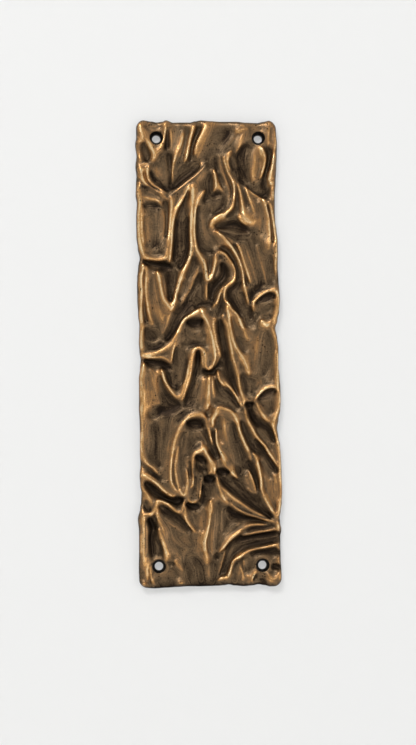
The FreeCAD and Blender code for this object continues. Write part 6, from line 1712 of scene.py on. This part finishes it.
    def bump(
        self,
        tree: bpy.types.NodeTree,
        pit: bpy.types.NodeSocket,
        grain: bpy.types.NodeSocket,
        streak: bpy.types.NodeSocket,
    ) -> bpy.types.NodeSocket:
        """Bends the normal over pits, grain and streaks, each as deep as it is on the casting.

        Args:
            tree: Tree to add to.
            pit: The pits, which go in.
            grain: The grain, which stands out.
            streak: The streaks, which stand out.

        Returns:
            The normal.
        """
        patterns = (
            (pit, self.pit_depth_mm, True),
            (grain, self.grain_depth_mm, False),
            (streak, self.streak_depth_mm, False),
        )
        normal = None
        for pattern, depth_mm, goes_in in patterns:
            inputs = {"Height": pattern, "Strength": 1.0, "Distance": depth_mm * MM}
            if normal is not None:
                inputs["Normal"] = normal
            normal = add_node(tree, "ShaderNodeBump", inputs, invert=goes_in).outputs["Normal"]
        return normal


@dataclass(frozen=True)
class Lamp:
    """One soft box of the studio, aimed at the plate, in metres and watts."""

    name: str
    place: tuple[float, float, float]
    size: float
    watts: float

    def add(self) -> bpy.types.Object:
        """Adds the lamp to the scene.

        Returns:
            The lamp.
        """
        data = bpy.data.lights.new(self.name, "AREA")
        data.shape = "SQUARE"
        data.size = self.size
        data.energy = self.watts
        lamp = bpy.data.objects.new(self.name, data)
        lamp.location = self.place
        lamp.rotation_euler = (-Vector(self.place)).to_track_quat("-Z", "Y").to_euler()
        bpy.context.scene.collection.objects.link(lamp)
        return lamp


@dataclass(frozen=True)
class Studio:
    """Pale wall and floor, soft light from above, and the camera at the photograph's angle, in metres."""

    wall_gap: float = 0.0006
    wall_half_width: float = 0.9
    floor_height: float = -0.34
    wall_top: float = 0.9
    floor_reach: float = 1.6
    pale: str = "#E9E9E8"
    pale_glow: str = "#F2F2F1"
    wall_glow: float = 0.4
    sky_low: float = 0.25
    sky_high: float = 0.70
    sky_low_way: float = -0.6
    sky_high_way: float = 0.7
    lens: float = 75.0
    sensor: float = 36.0
    camera_place: tuple[float, float, float] = (-0.0421, -0.8304, -0.0601)
    camera_turn: tuple[float, float, float] = (93.405, 0.486, -2.84)
    lamps: Sequence[Lamp] = (
        Lamp("key", (-0.5, -1.4, 1.1), 0.5, 15.0),
        Lamp("fill", (0.9, -1.3, -0.3), 0.7, 4.0),
    )

    def sheet(self, name: str, corners: Sequence[tuple[float, float, float]]) -> bpy.types.Object:
        """Adds a flat four-cornered sheet that belongs to the stage.

        Args:
            name: Name of the sheet.
            corners: Its corners, counter-clockwise from the side that shows.

        Returns:
            The sheet.
        """
        mesh = bpy.data.meshes.new(name)
        mesh.from_pydata(corners, [], [(0, 1, 2, 3)])
        piece = bpy.data.objects.new(name, mesh)
        bpy.context.scene.collection.objects.link(piece)
        return piece

    def paint(self, name: str) -> bpy.types.Material:
        """Matt pale paint that shows on the front of a sheet only, part of it as bright as it is written.

        Args:
            name: Name of the material.

        Returns:
            The material.
        """
        material = new_material(name)
        tree = material.node_tree
        matt = add_node(tree, "ShaderNodeBsdfDiffuse", {"Color": linear(self.pale)})
        glow = add_node(tree, "ShaderNodeEmission", {"Color": linear(self.pale_glow)})
        ray = add_node(tree, "ShaderNodeLightPath").outputs
        seen = ray["Is Camera Ray"]
        for other in ("Is Glossy Ray", "Is Transmission Ray"):
            seen = add_node(tree, "ShaderNodeMath", {0: seen, 1: ray[other]}, operation="MAXIMUM").outputs[0]
        inputs = {0: seen, 1: self.wall_glow}
        share = add_node(tree, "ShaderNodeMath", inputs, operation="MULTIPLY").outputs[0]
        lit = add_node(tree, "ShaderNodeMixShader", {0: share, 1: matt.outputs[0], 2: glow.outputs[0]})
        clear = add_node(tree, "ShaderNodeBsdfTransparent")
        behind = add_node(tree, "ShaderNodeNewGeometry").outputs["Backfacing"]
        one_sided = add_node(tree, "ShaderNodeMixShader", {0: behind, 1: lit.outputs[0], 2: clear.outputs[0]})
        add_node(tree, "ShaderNodeOutputMaterial", {"Surface": one_sided.outputs[0]})
        return material

    def add_stage(self) -> None:
        """Adds the wall behind the plate and the floor below it."""
        w, low, high, reach = self.wall_half_width, self.floor_height, self.wall_top, self.floor_reach
        y = self.wall_gap
        wall = self.sheet("wall", [(-w, y, low), (w, y, low), (w, y, high), (-w, y, high)])
        floor = self.sheet(
            "floor", [(-reach, -reach, low), (reach, -reach, low), (reach, reach, low), (-reach, reach, low)]
        )
        paint = self.paint("matt_wall_paint")
        for piece in (wall, floor):
            piece.data.materials.append(paint)

    def add_world(self) -> None:
        """Adds soft light from all around, brighter from above."""
        world = bpy.data.worlds.new("studio")
        world.use_nodes = True
        tree = world.node_tree
        tree.nodes.clear()
        way = add_node(tree, "ShaderNodeTexCoord").outputs["Generated"]
        up = add_node(tree, "ShaderNodeSeparateXYZ", {0: way}).outputs[2]
        strength = add_node(
            tree,
            "ShaderNodeMapRange",
            {
                "Value": up,
                "From Min": self.sky_low_way,
                "From Max": self.sky_high_way,
                "To Min": self.sky_low,
                "To Max": self.sky_high,
            },
            interpolation_type="SMOOTHSTEP",
        )
        inputs = {"Color": linear("#FFFFFF"), "Strength": strength.outputs["Result"]}
        sky = add_node(tree, "ShaderNodeBackground", inputs)
        add_node(tree, "ShaderNodeOutputWorld", {"Surface": sky.outputs[0]})
        bpy.context.scene.world = world

    def add_camera(self) -> None:
        """Adds the camera and makes it the scene's."""
        data = bpy.data.cameras.new("camera")
        data.lens = self.lens
        data.sensor_width = self.sensor
        camera = bpy.data.objects.new("camera", data)
        camera.location = self.camera_place
        camera.rotation_euler = [math.radians(angle) for angle in self.camera_turn]
        bpy.context.scene.collection.objects.link(camera)
        bpy.context.scene.camera = camera

    def build(self) -> None:
        """Sets up the whole studio."""
        self.add_stage()
        self.add_world()
        for lamp in self.lamps:
            lamp.add()
        self.add_camera()
        bpy.context.scene.view_settings.view_transform = "Standard"


def screw_holes(record: dict) -> list[ScrewHole]:
    """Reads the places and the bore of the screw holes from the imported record.

    Args:
        record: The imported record.

    Returns:
        The four holes.
    """
    mount = next(m for m in record["mounts"] if m["kind"] == "bolt_pattern")
    middle_x, _, middle_z = (value / MM for value in mount["pos_m"])
    dims = mount["dims"]
    return [
        ScrewHole(
            middle_x + across * dims["spacing_x_mm"] / 2,
            middle_z + up * dims["spacing_y_mm"] / 2,
            dims["hole_r_mm"],
        )
        for across in (-1, 1)
        for up in (-1, 1)
    ]


def main() -> None:
    """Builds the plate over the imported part, dresses it and sets up the studio."""
    logging.basicConfig(level=logging.INFO)
    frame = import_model()
    plate = FingerPlate(Folds(FOLDS, PATINA_AND_PAINTED_LIGHT), Outline(), screw_holes(frame["record"]))
    piece = plate.build()
    piece.data.materials.append(RubbedBronzeWithPaintedLight().material())
    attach(piece, "root")
    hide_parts(NODE)
    log.info("%s: %d faces", piece.name, len(piece.data.polygons))
    Studio().build()


if __name__ == "__main__":
    main()
